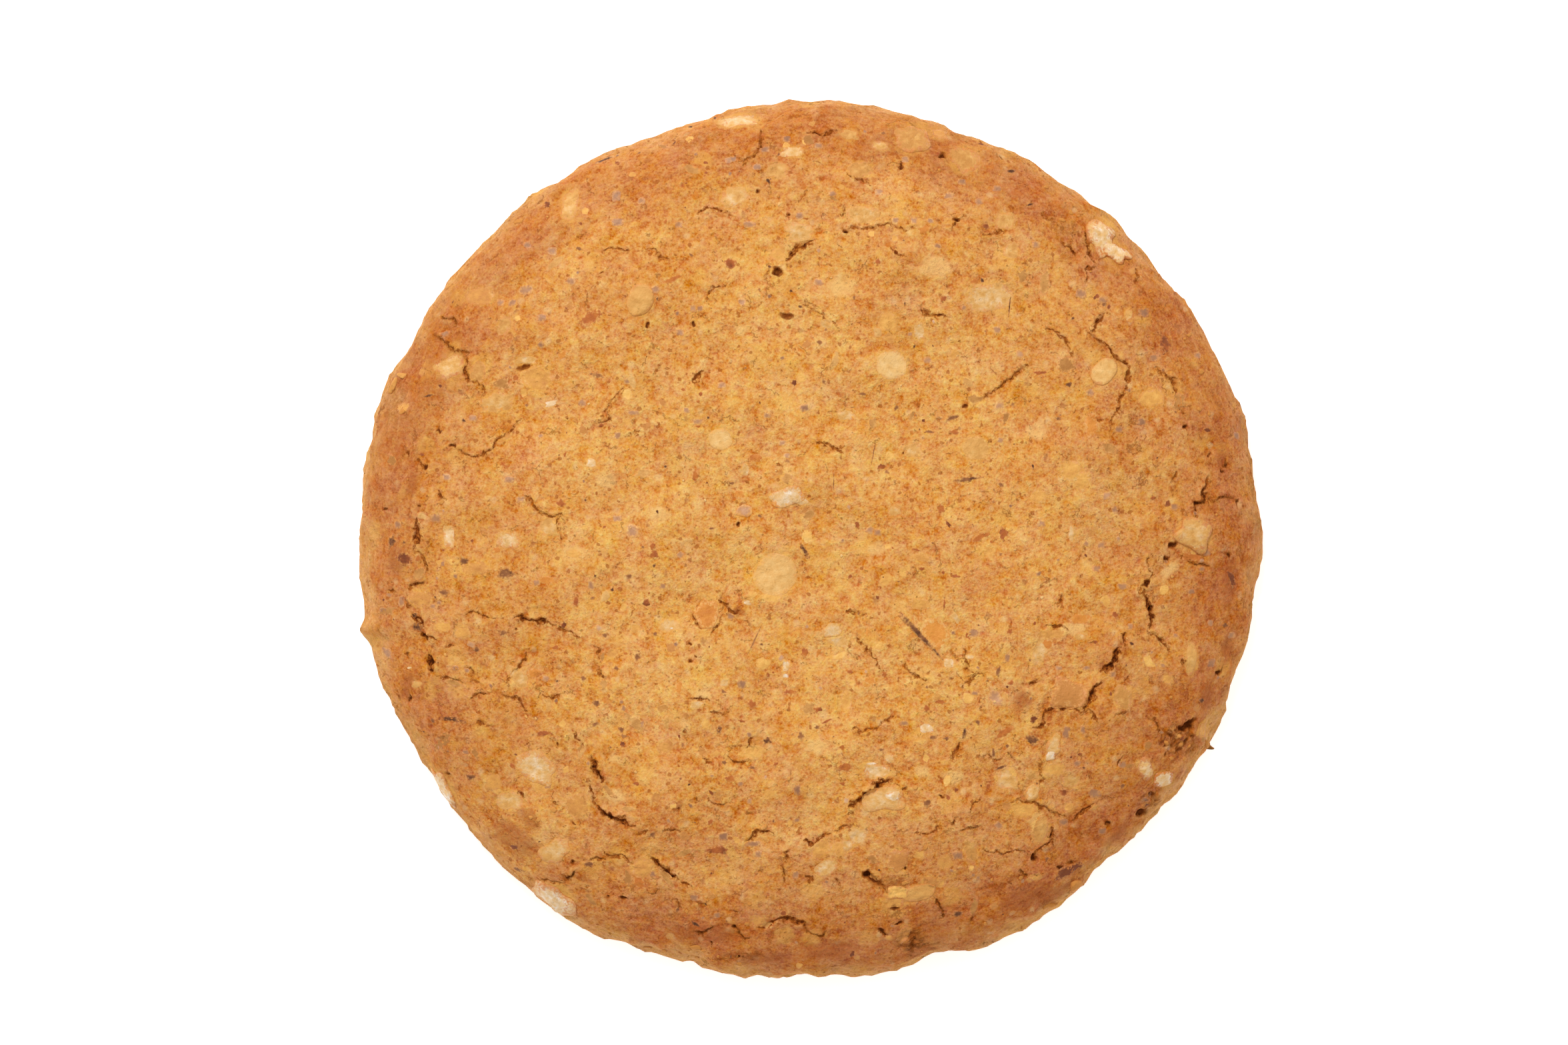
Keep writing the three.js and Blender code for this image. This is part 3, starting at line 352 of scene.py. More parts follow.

# Blanched nut chips, from tan (tone 0) to white (tone 1). The near-white one at (9.3, -15.1) is partly a chip
# and partly a painted highlight.
CREAM_CHIPS = bits(
    (-19.1, 26.6, 2.6, 1.3, 85), (-5.7, 33.3, 3, 1, 4, 0.7), (-1.4, 30.8, 1.6, 0.9, 0, 0.75),
    (-6, 27.2, 2.2, 1.4, 30, 0.55), (-2.6, 29.3, 1.5, 1.2, 0, 0.4), (-0.8, 24.4, 2, 1.4),
    (8.2, 31.8, 2.4, 2.2, 20, 0.25, 0.2), (3.2, 32.2, 1.2, 0.9, 0, 0.4), (5.6, 31.3, 1.2, 0.7, 0, 0.4),
    (4, 29.4, 1.8, 1.2, 0, 0.2), (4.2, 25.8, 2.4, 1.3, 0, 0.45), (12.4, 30.2, 2.2, 2, 40, 0.2),
    (14.3, 19.2, 3.2, 2.2, 10, 0.66), (15.6, 25.3, 1.6, 1.2, 0, 0.4), (16, 22.9, 1.2, 1, 0, 0.4),
    (23.2, 24.1, 2.4, 2.1, 50, 0.8, 0.42), (24.3, 22.8, 2, 1.5, -15, 0.95, 0.45),
    (-28.6, 13.7, 2.2, 1.6, 35), (-26.4, 13.3, 1.4, 1.2, 80, 0.15), (-24.9, 10.8, 2.2, 1.6, 10, 0.4),
    (-22.5, 14.2, 1.5, 0.6), (-24.3, 17, 1.3, 1.1, 80, 0.2), (-20.6, 10.75, 1, 0.4, 15, 0.9),
    (-28.7, 0.2, 1.5, 1, 85, 0.75), (-20.8, 0.9, 1.4, 1.2, 0, 0.4), (-24, -0.1, 1.6, 1.3, 0, 0.55),
    (-17.4, 6, 0.8, 0.6, 0, 0.8), (-1.8, 3.3, 2.4, 1.3, 12, 0.8, 0.14), (-0.7, 3, 0.9, 0.6, 0, 0.8),
    (-5.1, 5.5, 0.8, 0.6, 90, 0.6), (8.7, 16.5, 1.2, 0.8, 90, 0.6), (2.9, 9.8, 1.1, 0.8, 0, 0.6),
    (8.2, 7, 1.4, 1, 0, 0.35), (1.3, 17.1, 0.9, 0.7), (6.7, 2.2, 1, 0.6), (20.8, 0.4, 1.2, 0.4, 88, 0.6),
    (-31.3, -11.6, 0.8, 0.6), (-21.8, -18.2, 2.9, 2, -45, 0.72, 0.12), (-31.9, -10.3, 0.3, 0.2, 0, 0.9),
    (-23.9, -20.9, 2.1, 1.3, 5, 0.6), (-20.8, -13.2, 1, 0.5, 88, 0.25), (-23.2, -11, 2, 1, -45, 0.45),
    (-29.2, -19.9, 2.9, 1.2, -52, 1, 0.4), (-20.3, -24.9, 2.2, 1.5, 30, 0.5, 0.14),
    (-20.4, -28.8, 3, 2.3, -35, 1, 0.35), (-11.2, -6.9, 1.4, 1), (-11, -7.1, 0.35, 0.25, 0, 1),
    (-11.7, -13.5, 0.8, 0.6, 0, 0.25), (-11.4, -14.6, 1, 0.4, 85, 0.45), (-1.9, -10.1, 1, 0.6, 85, 0.6),
    (-1.9, -10.9, 0.5, 0.4, 0, 0.85), (-6.8, -11.5, 0.6, 0.5, 0, 0.6), (-9, -13.2, 0.9, 0.5, 0, 0.6),
    (-5, -5.1, 0.6, 0.4, 0, 0.7), (1.8, -7.3, 1.3, 0.9, 10, 0.66, 0.12), (2.3, -8.2, 1.4, 0.8, 0, 0.45),
    # The near-white chip at (9.3, -15.1) is partly a cream chip and partly a painted highlight.
    (11.1, -9.9, 0.9, 0.7, 0, 0.7), (12.7, -9.4, 0.6, 0.4, 0, 0.7), (9.3, -15.1, 1, 0.7, 0, 0.85),
    (6.3, -17.5, 0.7, 0.6, 0, 0.6), (4.9, -17.9, 0.7, 0.2, 0, 1), (5.3, -18.5, 2.2, 0.9, 0, 0.7),
    (11.6, -6.3, 0.8, 0.5, -45, 0.6), (18.3, -9, 2, 1, 70, 0.45), (21.5, -7.8, 0.8, 0.5),
    (19.4, -16.5, 1.8, 0.9, 75, 0.55, 0.14), (19.15, -17.2, 0.9, 0.7, 75, 0.95, 0.14),
    (26.8, -18.4, 1.6, 1.1, -45, 0.7, 0.16), (28.2, -19.2, 1.6, 1.2, 0, 1, 0.25),
    (24.9, -12.6, 1.6, 1.4, 80, 0.15), (5.9, -20.7, 2.7, 1.9, 15, 0.6, 0.16),
    (6.6, -20.5, 1.2, 0.8, 20, 0.85, 0.2), (3.8, -23.7, 1.3, 1.1, 0, 0.75), (3, -24.4, 0.9, 0.8),
    (1.3, -26.2, 1.7, 1.1, 35, 0.6), (15.7, -19.2, 1.6, 1.4, 0, 0.6),
    (17.7, -20.2, 1.2, 0.9, 80, 0.6, 0.12), (17.7, -18.9, 0.8, 0.6, 0, 0.3), (20.8, -19.3, 1.3, 1, 0, 0.35),
    (18.4, -23.2, 2, 1.2, 85, 0.35), (12.8, -24.8, 1.8, 1, 88, 0.15), (25.4, 17.8, 0.9, 0.6, 88, 0.4),
    (30.6, 0.35, 2.6, 2.1, -25, 0.52, 0.6),
)  # fmt: skip

# Golden and tan nut chips.
GOLDEN_CHIPS = bits(
    (-26.3, 19.3, 2.3, 1.4, 0, 0.4), (-2.5, 22.6, 1.2, 1), (10.4, 32.3, 1.3, 1),
    (-21.7, 12.8, 2.4, 1.6, -20, 0.35), (6.2, 17.2, 1.6, 1.3, 88, 0.6), (27.2, 11.2, 2, 1.3, 0, 0.6),
    (20.8, 5.4, 1.6, 1.5, 0, 0.7), (21.7, 4.6, 1.4, 1.1, 88, 0.6), (-3, -4.7, 1.4, 0.8, 0, 0.8),
    (-31, -4.8, 1.6, 1.3, 0, 0.4), (-29.2, -7, 1.2, 0.8, 0, 0.7), (-27.7, -7.5, 1.2, 0.8, 0, 0.6),
    (-26.6, -2.4, 2.2, 1, 0, 0.3), (-18.8, -1.2, 1, 0.7, 0, 0.7), (-25.2, -19.4, 1.4, 1.2, 88),
    (-18.5, -21.3, 2, 1.7, 60, 0.3), (-21.3, -19.5, 1.6, 1.2, 0, 0.6), (-26.6, -23.2, 1, 0.6, 0, 0.7),
    (-13.3, -26.2, 1.6, 1.4), (-4.1, -30.4, 1.2, 0.7, 0, 0.6), (-4.5, -17, 1.8, 1, 0, 0.6),
    (-11.5, -16.6, 1.2, 1, 0, 0.3), (-8.3, -14.7, 1, 0.6, 88, 0.7), (-16.4, -2.3, 0.5, 0.3, 88, 0.8),
    (2.9, -12.9, 1.4, 0.8, 85, 0.6), (2.4, -9.3, 1.2, 0.4, 20, 0.85), (8.8, -5.2, 1.4, 0.9, 0, 0.4),
    (8.7, -1.5, 1.4, 0.6), (7.4, -2.7, 0.8, 0.6, 88, 0.6), (5.5, -8.5, 0.7, 0.6, 0, 0.7),
    (20.55, -12.4, 2.7, 2.1, -10, 0.1, 0.24), (31.7, -14.5, 0.6, 0.4, 88, 0.7),
    (31.3, -15.3, 1.2, 0.8, 88, 0.7), (28.4, -11.2, 0.8, 0.7, 0, 0.6), (19.3, -7.6, 2, 0.6),
    (0.9, -24.7, 1.6, 1.1, 30, 0.45), (2.4, -24.7, 1.1, 0.9, 88), (7, -25.6, 1.7, 1.3, 80, 0.15, 0.14),
    (8.8, -25.2, 0.9, 0.7, 0, 0.7), (10.7, -25.8, 1.1, 1, 0, 0.6), (7, -28.2, 1.6, 0.9, 0, 0.95, 0.2),
    (6.8, -29, 1.4, 0.8, 0, 0.6), (9.6, -27.3, 1, 0.8, 0, 0.2), (7.5, -31.5, 1.6, 0.8, 70, 0.3),
    (17, -21.6, 2, 1, 0, 0.6), (19.4, -18.4, 1.6, 1, 0, 0.6), (20.6, -21.4, 0.8, 0.6, 0, 0.7),
    (18, -27, 1, 0.5, 0, 0.6), (22.7, -21.4, 0.5, 0.4, 0, 0.7), (16, -18.8, 1.2, 0.9, 88, 0.9),
    (-3.2, -20.3, 0.8, 0.6, 0, 0.6), (18.2, 3.4, 1.2, 0.9),
)  # fmt: skip

# Whole hulled seeds and nut halves, round on top.
ROUND_CHIPS = bits(
    (-2.75, -2.9, 3.1, 2.95, 60, 0.5, 0.06), (6.5, 13.8, 2.2, 2.1, 0, 0.78), (13.2, 7.2, 1.9, 1.7, 0, 0.28),
    (-7.1, 7.9, 1.7, 1.5, 0, 0.65, 0.1), (23.4, 13.3, 2.1, 1.6, 45, 0.65, 0.3),
    (-13.5, 19, 2.4, 1.8, 75, 0.42, 0.24), (8.7, -28.2, 2.4, 1.2, 15, 0.35, 0.16),
    (30.4, -9.6, 2.4, 0.9, 88),
)  # fmt: skip

# Toasted orange chips, and at (30.4, -1.5) a dark orange one that is a painted shadow under the wedge chip
# beside it.
ORANGE_CHIPS = bits(
    (-8.2, -6, 2, 1.6, 80, 0.5, 0.14), (10, -7.5, 2.4, 1.5, -52, 0.75, 0.05),
    (-20.9, -3.3, 1.1, 0.6, 0, 0.6), (-22, -10.7, 1, 0.7, 0, 0.6), (-10.4, -11.9, 0.9, 0.5, 88, 0.6),
    (18.9, -8.4, 0.8, 0.7), (0.7, -9.1, 0.6, 0.35, 75), (4.6, -7.4, 0.6, 0.3, 75, 0.6),
    (4.8, -11.3, 0.8, 0.6, 0, 0.6), (-24.9, -0.9, 0.5, 0.4), (-1.2, -4.1, 0.4, 0.25, 88, 0.6),
    # The dark orange chip at (30.4, -1.5) is a painted shadow under the wedge chip beside it.
    (-15, -22.9, 0.5, 0.3, 0, 0.6), (-13.6, -27.4, 1, 0.7, 88, 0.3), (30.4, -1.5, 1.6, 0.5, 0, 0.2),
    (22.4, 9, 1.6, 1, 88, 0.7), (-4.3, 6.4, 0.9, 0.6, 0, 0.2), (-5.6, 3.5, 0.8, 0.6, 0, 0.6),
    (21.5, -6.4, 1.6, 0.7, 0, 0.7), (-19.7, 14.6, 0.8, 0.5, 30, 0.6), (27.9, -5, 0.9, 0.5, 60),
    (9.1, 24.6, 0.9, 0.5, 20, 0.6),
)  # fmt: skip

# Rolled oat flakes, seen flat or on edge.
OAT_FLAKES = bits(
    (-28.3, -11.5, 1.6, 0.4, -15, 0.6), (-31.1, -2.8, 1.2, 0.8, 35), (-16.5, -9.4, 0.7, 0.4, 88, 0.2),
    (-16.4, -11.6, 0.8, 0.6, 88, 0.4), (-13.8, -14.7, 2, 0.8, -40), (-14.5, -27, 1.4, 0.5, 88, 0.2),
    (-11.4, -27, 2, 0.6, -50, 0.4), (-17.4, -28.8, 1.2, 0.5, -50, 0.4), (13.1, -29.3, 1.7, 0.6, 85),
    (-14.5, -21.5, 1.2, 0.4, 0, 0.6), (26.9, -16.5, 0.9, 0.6, 30, 0.1), (31.4, -16, 0.6, 0.4),
    (18.7, 20.3, 2, 0.8, 80), (16.9, 20.9, 1.2, 0.6, 70, 0.4), (-20.2, 22, 1.6, 0.6, 40, 0.6),
    (-10, -25, 1.4, 0.5, 20), (-9.4, 29.4, 1.6, 0.6, -20), (2, 14.2, 1.5, 0.6, 70, 0.6),
    (12.6, 12.4, 1.4, 0.5, -30), (-13.2, 5.2, 1.5, 0.6, 15, 0.6), (-18.2, -17, 1.2, 0.5, 70),
)  # fmt: skip

# Grains of raw sugar.
SUGAR_GRAINS = bits(
    (-5.2, 2.2, 1.1, 0.85, -10, 0.7, 0.12), (-20.5, 22.9, 0.7, 0.6), (-19, 20.5, 0.7, 0.5),
    (-22.6, 19.8, 1, 0.7), (-23.7, 18.8, 0.6, 0.5), (-24.6, 18.8, 0.6, 0.5), (-21.3, 17.6, 0.7, 0.5),
    (-22.5, 23.4, 0.6, 0.5), (-15.3, 25.2, 0.9, 0.6), (-15.4, 27.3, 0.9, 0.6, 88), (-10.4, 25, 0.6, 0.5),
    (-4.8, 25, 0.9, 0.5), (-0.8, 25.7, 0.6, 0.5), (-3.6, 31, 0.7, 0.5), (-9.3, 18.3, 0.5, 0.5),
    (-8.7, 18.3, 0.5, 0.4), (-12.3, 19.8, 0.7, 0.5), (-4.2, 29.6, 0.6, 0.5), (-13.4, 26.9, 0.6, 0.5),
    (6.8, 25.3, 0.5, 0.5), (8.3, 25.3, 0.5, 0.5), (9.6, 25.3, 0.5, 0.4), (0.7, 20.4, 0.7, 0.5),
    (11.1, 27.3, 0.7, 0.5), (12.1, 28.4, 0.6, 0.5), (14.9, 27.9, 0.6, 0.5), (10.2, 23.3, 0.5, 0.4),
    (5.5, 27.6, 0.6, 0.5), (0.7, 31.3, 0.6, 0.5), (7.6, 30.2, 0.6, 0.5), (21.6, 19.5, 0.8, 0.7),
    (26.6, 18, 0.8, 0.7), (23.3, 19, 0.6, 0.5), (18, 23.4, 0.6, 0.5), (-32.8, 1.1, 0.6, 0.5),
    (-29.8, 1.6, 0.8, 0.6), (-23.9, 4.7, 0.7, 0.5), (-26.8, 9.6, 0.6, 0.5), (-29.1, 16.3, 0.8, 0.5),
    (-28.9, 4.9, 0.6, 0.5), (-23, 3.1, 0.6, 0.5), (-0.4, 10.4, 0.8, 0.55, 10, 0.05),
    (-10.3, 16.4, 0.6, 0.5), (-14.4, 12.5, 0.8, 0.4), (-7, 12.2, 0.6, 0.5), (-14, 10, 0.8, 0.35),
    (-8.9, 9.3, 0.7, 0.4), (-14.1, 0.6, 1, 0.8, 88), (-15.3, 8.2, 0.5, 0.5), (-18.1, 10.8, 0.6, 0.5),
    (-3.4, 9.8, 0.5, 0.4), (-9.8, 10.2, 0.5, 0.4), (-2.2, 7.6, 0.5, 0.4), (-15.3, 1.6, 0.6, 0.5),
    (9.4, 14.2, 0.6, 0.5), (14.9, 16.6, 0.6, 0.5), (15.1, 10.6, 0.6, 0.5), (5.4, 0.5, 0.6, 0.5),
    (22.3, 11.6, 0.6, 0.5), (24.6, 8.7, 0.6, 0.5), (26.4, 9.3, 0.6, 0.5), (27.4, 14.4, 0.7, 0.5),
    (30.9, 14.6, 0.6, 0.5), (34, 8.2, 0.6, 0.5), (18.4, 1.2, 0.6, 0.5), (29, 2.5, 0.6, 0.5),
    (23.6, 3.4, 0.6, 0.5, 0, 0.9), (-30, -5.4, 0.4, 0.35), (-29.5, -5.1, 0.3, 0.3),
    (-32.5, -5, 0.8, 0.5, 88), (-33.9, -5.7, 0.7, 0.4), (-33.5, -4.5, 0.5, 0.3), (-29.2, -2, 0.35, 0.35),
    (-28.2, -3, 0.35, 0.3), (-33.7, -9.1, 1, 0.7), (-17.4, -3.7, 0.6, 0.45, 88), (-21.7, -3.5, 0.5, 0.4),
    (-28.2, -10.3, 0.5, 0.4), (-27.3, -10.5, 0.4, 0.35), (-27.4, -17, 0.5, 0.3), (-11.7, -3.8, 0.5, 0.4),
    (-5.4, -11.6, 0.75, 0.6, 0, 0.3), (-4.8, -15.6, 0.4, 0.4), (-15, -13, 0.3, 0.3),
    (-5.5, -19.5, 0.4, 0.4), (-4.8, -20.9, 0.4, 0.4), (-6.9, -23.7, 0.75, 0.6, 0, 0.1),
    (-1, -20, 0.8, 0.5, 88, 0.1), (-4.5, -24.3, 1.2, 0.4), (-4.1, -25.1, 0.5, 0.5),
    (-12.5, -26.7, 0.4, 0.4), (-9.2, -28.6, 0.6, 0.5), (-7.4, -30, 0.5, 0.5, 0, 0.7),
    (-20.9, -19.7, 0.5, 0.4), (13, -7.5, 0.7, 0.6), (15.7, -9.5, 0.6, 0.4, 88, 0.3),
    (14.8, -12.7, 1.1, 0.8, -70, 0.8), (13.1, -12.3, 0.5, 0.25), (7.5, -14.7, 0.7, 0.4),
    (23.2, -0.5, 0.6, 0.5), (22.8, -2.4, 0.6, 0.5), (24.9, -3.8, 0.8, 0.5), (25.5, -7, 0.5, 0.4, 88),
    (24.1, -10.8, 0.5, 0.45, 0, 0.6), (22, -10.3, 0.5, 0.3), (21.7, -15.2, 0.6, 0.4, 88),
    (21.3, -17.9, 0.5, 0.4), (24.9, -18, 0.6, 0.55, 0, 0.7), (31.2, -2.4, 0.5, 0.4), (30.4, -4.2, 0.5, 0.4),
    (29.1, -7.7, 0.4, 0.35), (28.1, -10.1, 0.4, 0.35), (32, -9.9, 0.7, 0.6, 0, 0.6),
    (19.8, -10.3, 0.5, 0.35), (33.6, -7.7, 0.6, 0.5, 0, 0.6), (31.6, -1.1, 0.6, 0.5, 0, 0.7),
    (20.4, -15.4, 0.9, 0.5, 75, 0.4), (22.7, -20.3, 0.9, 0.7), (20.2, -22.6, 0.7, 0.6),
    (26.8, -20.8, 0.6, 0.5), (23.3, -23.3, 0.6, 0.5), (11.8, -25.2, 0.8, 0.6), (13, -26.8, 0.3, 0.3),
    (13.4, -27, 0.3, 0.3),
)  # fmt: skip

# Purple-brown bran and husk.
BRAN_FLAKES = bits(
    (-16.4, 30.2, 1.3, 0.55, 25, 0.2), (16.1, 29.3, 0.8, 0.35, 10, 0.2), (17.5, 26.6, 0.6, 0.2, 20, 0.3),
    (15.9, 18.6, 1.6, 0.15, 85, 0.3), (12.4, 4.7, 1.8, 0.45, 8, 0.3), (11.3, 9.6, 0.8, 0.5, 20, 0.3),
    (6.1, 5.3, 0.5, 0.3), (15.2, 4.3, 0.5, 0.4), (0.8, 15.6, 0.5, 0.4), (6.9, 10.4, 0.5, 0.35, 60),
    (1.1, 12.5, 0.4, 0.3), (4.2, 11.5, 0.5, 0.3), (9.5, 8.5, 0.7, 0.25), (-33.3, -0.2, 1, 0.7, 70, 0.3),
    (-30.3, 11.4, 1, 0.2, 10), (-16.9, 13, 1, 0.4, -10), (-6.2, 4.4, 0.5, 0.2), (-7.8, 0.8, 0.6, 0.2),
    (8.6, -7.5, 4.7, 0.44, -47, 0.25, 0.12), (-0.4, -1, 1.15, 0.42, -65, 0, 0.06),
    (-3.4, -16.1, 0.6, 0.5, 0, 0.1), (-24.2, -2.8, 1.1, 0.9, 0, 0.3), (-29.1, -4.3, 0.9, 0.5),
    (-27.5, -1.8, 0.7, 0.6), (-24.4, -7.5, 0.6, 0.5), (-31.2, -7, 0.9, 0.7), (-26.5, -8.8, 0.5, 0.4),
    (-28.5, -14.4, 2.4, 0.4, -5, 0.35), (-30, -14.5, 0.5, 0.4), (-22.1, -18.7, 0.8, 0.4),
    (-18, -11.1, 0.5, 0.4), (-21.8, -14.3, 0.4, 0.3), (-17.6, -25.9, 0.8, 0.5), (-27, -19, 0.8, 0.5),
    (-23.2, -26.4, 1, 0.5), (-14.4, -3, 0.5, 0.4), (-15.4, -10.3, 0.4, 0.3), (-13.7, -9.4, 0.6, 0.5),
    (-16.3, -7.7, 0.4, 0.4), (-17, -13.1, 0.6, 0.5), (-17.1, -14.8, 0.6, 0.4), (-15, -15.2, 0.5, 0.4),
    (-12.3, -7.6, 0.4, 0.3), (-7.2, -15.2, 0.8, 0.4, 88), (-0.7, -15.7, 0.7, 0.5, 88),
    (-6.8, -17.8, 0.4, 0.3), (-4.6, -18.2, 0.5, 0.3), (-12.5, -23.6, 0.6, 0.5),
    (15, -10.6, 0.9, 0.4, 80, 0.2), (12.3, -15.5, 0.9, 0.3, 88, 0.2), (10.9, -15.9, 0.5, 0.3),
    (9.8, -15.8, 0.5, 0.4), (13.4, -14.6, 0.5, 0.4), (17.7, -16, 1, 0.8, 0, 0.4), (15.7, -16.5, 0.35, 0.3),
    (14.6, -17.1, 0.8, 0.3, 88), (0.6, -15, 0.5, 0.3), (31.2, -12.9, 0.6, 0.3), (33.1, -6.9, 0.5, 0.4),
    (9.3, -21.1, 0.8, 0.5, 88), (11.8, -29.9, 0.8, 0.5), (5.7, -16.8, 0.4, 0.3),
    (15.2, -18.2, 1, 0.2, 25, 0.3), (-20.9, -25.1, 0.9, 0.6, 20), (-9.1, -30.7, 0.8, 0.3, -30, 0.1),
    (-4.4, -8.1, 2.4, 0.14, 65, 0.7), (1.9, 4.4, 1.2, 0.1, 88), (5.1, 7, 2, 0.1, 80),
    (3.4, 10.45, 0.4, 0.1),
)  # fmt: skip

# Red-brown skins of the nuts.
SKIN_FLAKES = bits(
    (-17.4, 17.6, 1.6, 1.1, 20), (-6.3, 21.9, 0.9, 0.8), (-11, 20.6, 1.7, 0.35, 20, 0.8),
    (-19.8, 2.8, 0.7, 0.6), (-9.1, 5, 0.9, 0.6, 88, 0.6), (11.5, 8.5, 0.7, 0.4),
    (10.4, 2.4, 0.7, 0.6, 0, 0.6), (13.5, 0.1, 1.2, 0.5, 25, 0.7), (15.4, 0.4, 0.9, 0.7, 80, 0.4),
    (3.8, 1.1, 0.6, 0.4, 80, 0.3), (28.3, 15.5, 1.4, 0.8, 88), (18.3, 13.2, 0.9, 0.3),
    (-32.3, -1.6, 1.4, 0.9, 0, 0.3), (-31.2, -1.6, 0.45, 0.4, 0, 0.8), (-18.6, -5, 0.9, 0.4, 88),
    (-21.2, -15.5, 1, 0.5), (-12.5, -0.6, 0.5, 0.5), (-12.4, -1.3, 0.8, 0.5),
    (-0.4, -9.1, 0.65, 0.6, 0, 0.6), (-3.3, -10.9, 0.4, 0.2, 70, 0.2), (-1.5, -12.2, 1, 0.35),
    (-4.6, -13.2, 0.8, 0.6), (-5.4, -14.5, 0.5, 0.2), (15.5, -15.4, 1.35, 0.6, 30, 0.7),
    (2.8, -18.2, 1, 0.7, 0, 0.6), (2.6, -16.6, 0.4, 0.4), (2.6, -19.5, 0.4, 0.3),
    (8.5, -0.9, 0.6, 0.2, -20), (8.9, -2.4, 0.4, 0.3), (3.2, -3, 0.4, 0.3, 60, 0.3), (11.6, -3, 0.6, 0.3),
    (10.6, -2.7, 0.3, 0.25), (15.9, -7.4, 0.45, 0.4, 0, 0.6), (10.7, -5.2, 0.6, 0.2, 88),
    (9.3, -13.5, 0.5, 0.4), (10.4, -13, 0.7, 0.4), (0.6, -13.6, 0.6, 0.5), (1.4, -14.5, 0.8, 0.2, 25),
    (33.6, -3.2, 1.6, 0.4, -60, 0.2), (24.3, -6.1, 0.5, 0.4, 88, 0.6), (22.7, -8.2, 0.3, 0.3),
    (-7.3, -24.8, 1.3, 0.7, 0, 0.4), (-6.3, -19.1, 0.7, 0.5, 0, 0.6), (-13.8, -19.5, 0.5, 0.3),
    (20.2, -20.2, 0.6, 0.5, 0, 0.4), (20.6, -26.5, 2.2, 0.9, 22, 0.05), (-23.6, -24.6, 0.7, 0.5, 0, 0.1),
    (19.9, -8.3, 0.6, 0.3, 0, 0.6), (-13, -5.1, 0.6, 0.5, 0, 0.3), (3.2, -10.6, 0.5, 0.3),
)  # fmt: skip

# Loose crumbs baked on to the crust and the side.
PALE_CRUMBS = bits(
    (20.1, 25.4, 0.5, 0.4), (20.8, 26, 0.4, 0.4), (21.4, 25.7, 0.2, 0.2), (18.8, 28, 0.4, 0.3),
    (21.3, -27.7, 1.3, 1, 60, 0.1, 0.5), (19.2, -29.2, 1.1, 0.6, -20, 0.1, 0.4), (-23.2, 25.3, 0.8, 0.5),
    (-33.2, 12.2, 1.5, 0.5, 62, 0.95, 0.35), (-32.5, 13, 0.7, 0.5, 0, 0.95, 0.3), (-32.5, 10.1, 0.5, 0.4),
    (-29.3, 2.9, 0.4, 0.3), (21, 10.2, 0.3, 0.3), (31.2, 13.3, 0.5, 0.4), (31, 10.3, 0.4, 0.3),
    (31.8, 9.9, 0.3, 0.3), (30.2, 16.2, 0.4, 0.3), (20.4, 0.6, 0.4, 0.3), (32.2, 1.5, 0.2, 0.2),
    (-20.4, -21.6, 0.5, 0.4), (-22.2, -22.2, 0.35, 0.3), (-21.6, -22.4, 0.3, 0.3),
    (-25.5, -22.5, 0.25, 0.25), (-24.6, -22.3, 0.15, 0.15), (-21.6, -25.6, 0.5, 0.4),
    (-3.5, -22.9, 0.3, 0.3), (-9.8, -29.7, 0.3, 0.3), (-5, -30.7, 0.4, 0.3), (-4.8, -29.1, 0.3, 0.3),
    (-6.5, -28.8, 0.2, 0.2), (-12.9, -32.6, 0.6, 0.15), (-11.6, -32.9, 0.4, 0.35), (-9.1, -32.6, 0.9, 0.5),
    (-8.2, -33.3, 0.25, 0.2), (-7.3, -33.3, 0.2, 0.2), (-8.3, -34, 0.25, 0.2), (-5.8, -33.3, 0.25, 0.2),
    (-5.6, -33.9, 0.4, 0.3), (-9, -33.4, 0.3, 0.3), (8, -29.6, 0.25, 0.25), (10.6, -24.1, 0.3, 0.3),
    (8.4, -19.8, 0.5, 0.3), (16.8, -19.8, 0.4, 0.35), (16.8, -27, 0.35, 0.3), (14, -30.7, 0.3, 0.3),
    (16.5, -16.9, 0.3, 0.3), (29.6, -16.4, 0.5, 0.4), (28.4, -16.3, 0.4, 0.35), (30.3, -16.6, 0.45, 0.35),
    (29.9, -17.6, 0.4, 0.35), (31.8, -16.5, 1.1, 0.6, -30, 0.5, 0.4), (28.8, -17.5, 0.35, 0.3),
    (7.6, -27.4, 0.45, 0.35), (6.2, -28.4, 0.4, 0.3), (9.2, -24.6, 0.4, 0.35), (8.3, -25.9, 0.35, 0.3),
)  # fmt: skip
# The chips that the crust is paler round.
CHIPS = CREAM_CHIPS + GOLDEN_CHIPS + ROUND_CHIPS


# ----------------------------------------------------------------------- helpers for meshes


def read_rows(
    items: bpy.types.bpy_prop_collection, name: str, kind: type, values: int = 3, row: int = 3
) -> Array:
    """Read one property of all vertices, edges or corners of a mesh.

    Args:
        items: The mesh's vertices, edges or corners.
        name: The property.
        kind: The type of its numbers.
        values: How many numbers each item has.
        row: How many numbers make a row.

    Returns:
        The numbers in rows.
    """
    flat = np.empty(len(items) * values, dtype=kind)
    items.foreach_get(name, flat)
    return flat.reshape(-1, row)


def read_points(piece: bpy.types.Object) -> Array:
    """Return the piece's vertices in millimetres, one row each."""
    return read_rows(piece.data.vertices, "co", np.float32).astype(float) / MM


def read_normals(piece: bpy.types.Object) -> Array:
    """Return the outward direction at each vertex of the piece."""
    return read_rows(piece.data.vertex_normals, "vector", np.float32).astype(float)


def read_triangles(piece: bpy.types.Object) -> Array:
    """Return the corners of the piece's triangles, one row each."""
    return read_rows(piece.data.loops, "vertex_index", np.int32, 1)


def write_points(piece: bpy.types.Object, points: Array) -> None:
    """Move the piece's vertices to points in millimetres."""
    piece.data.vertices.foreach_set("co", (points * MM).astype(np.float32).ravel())
    piece.data.update()


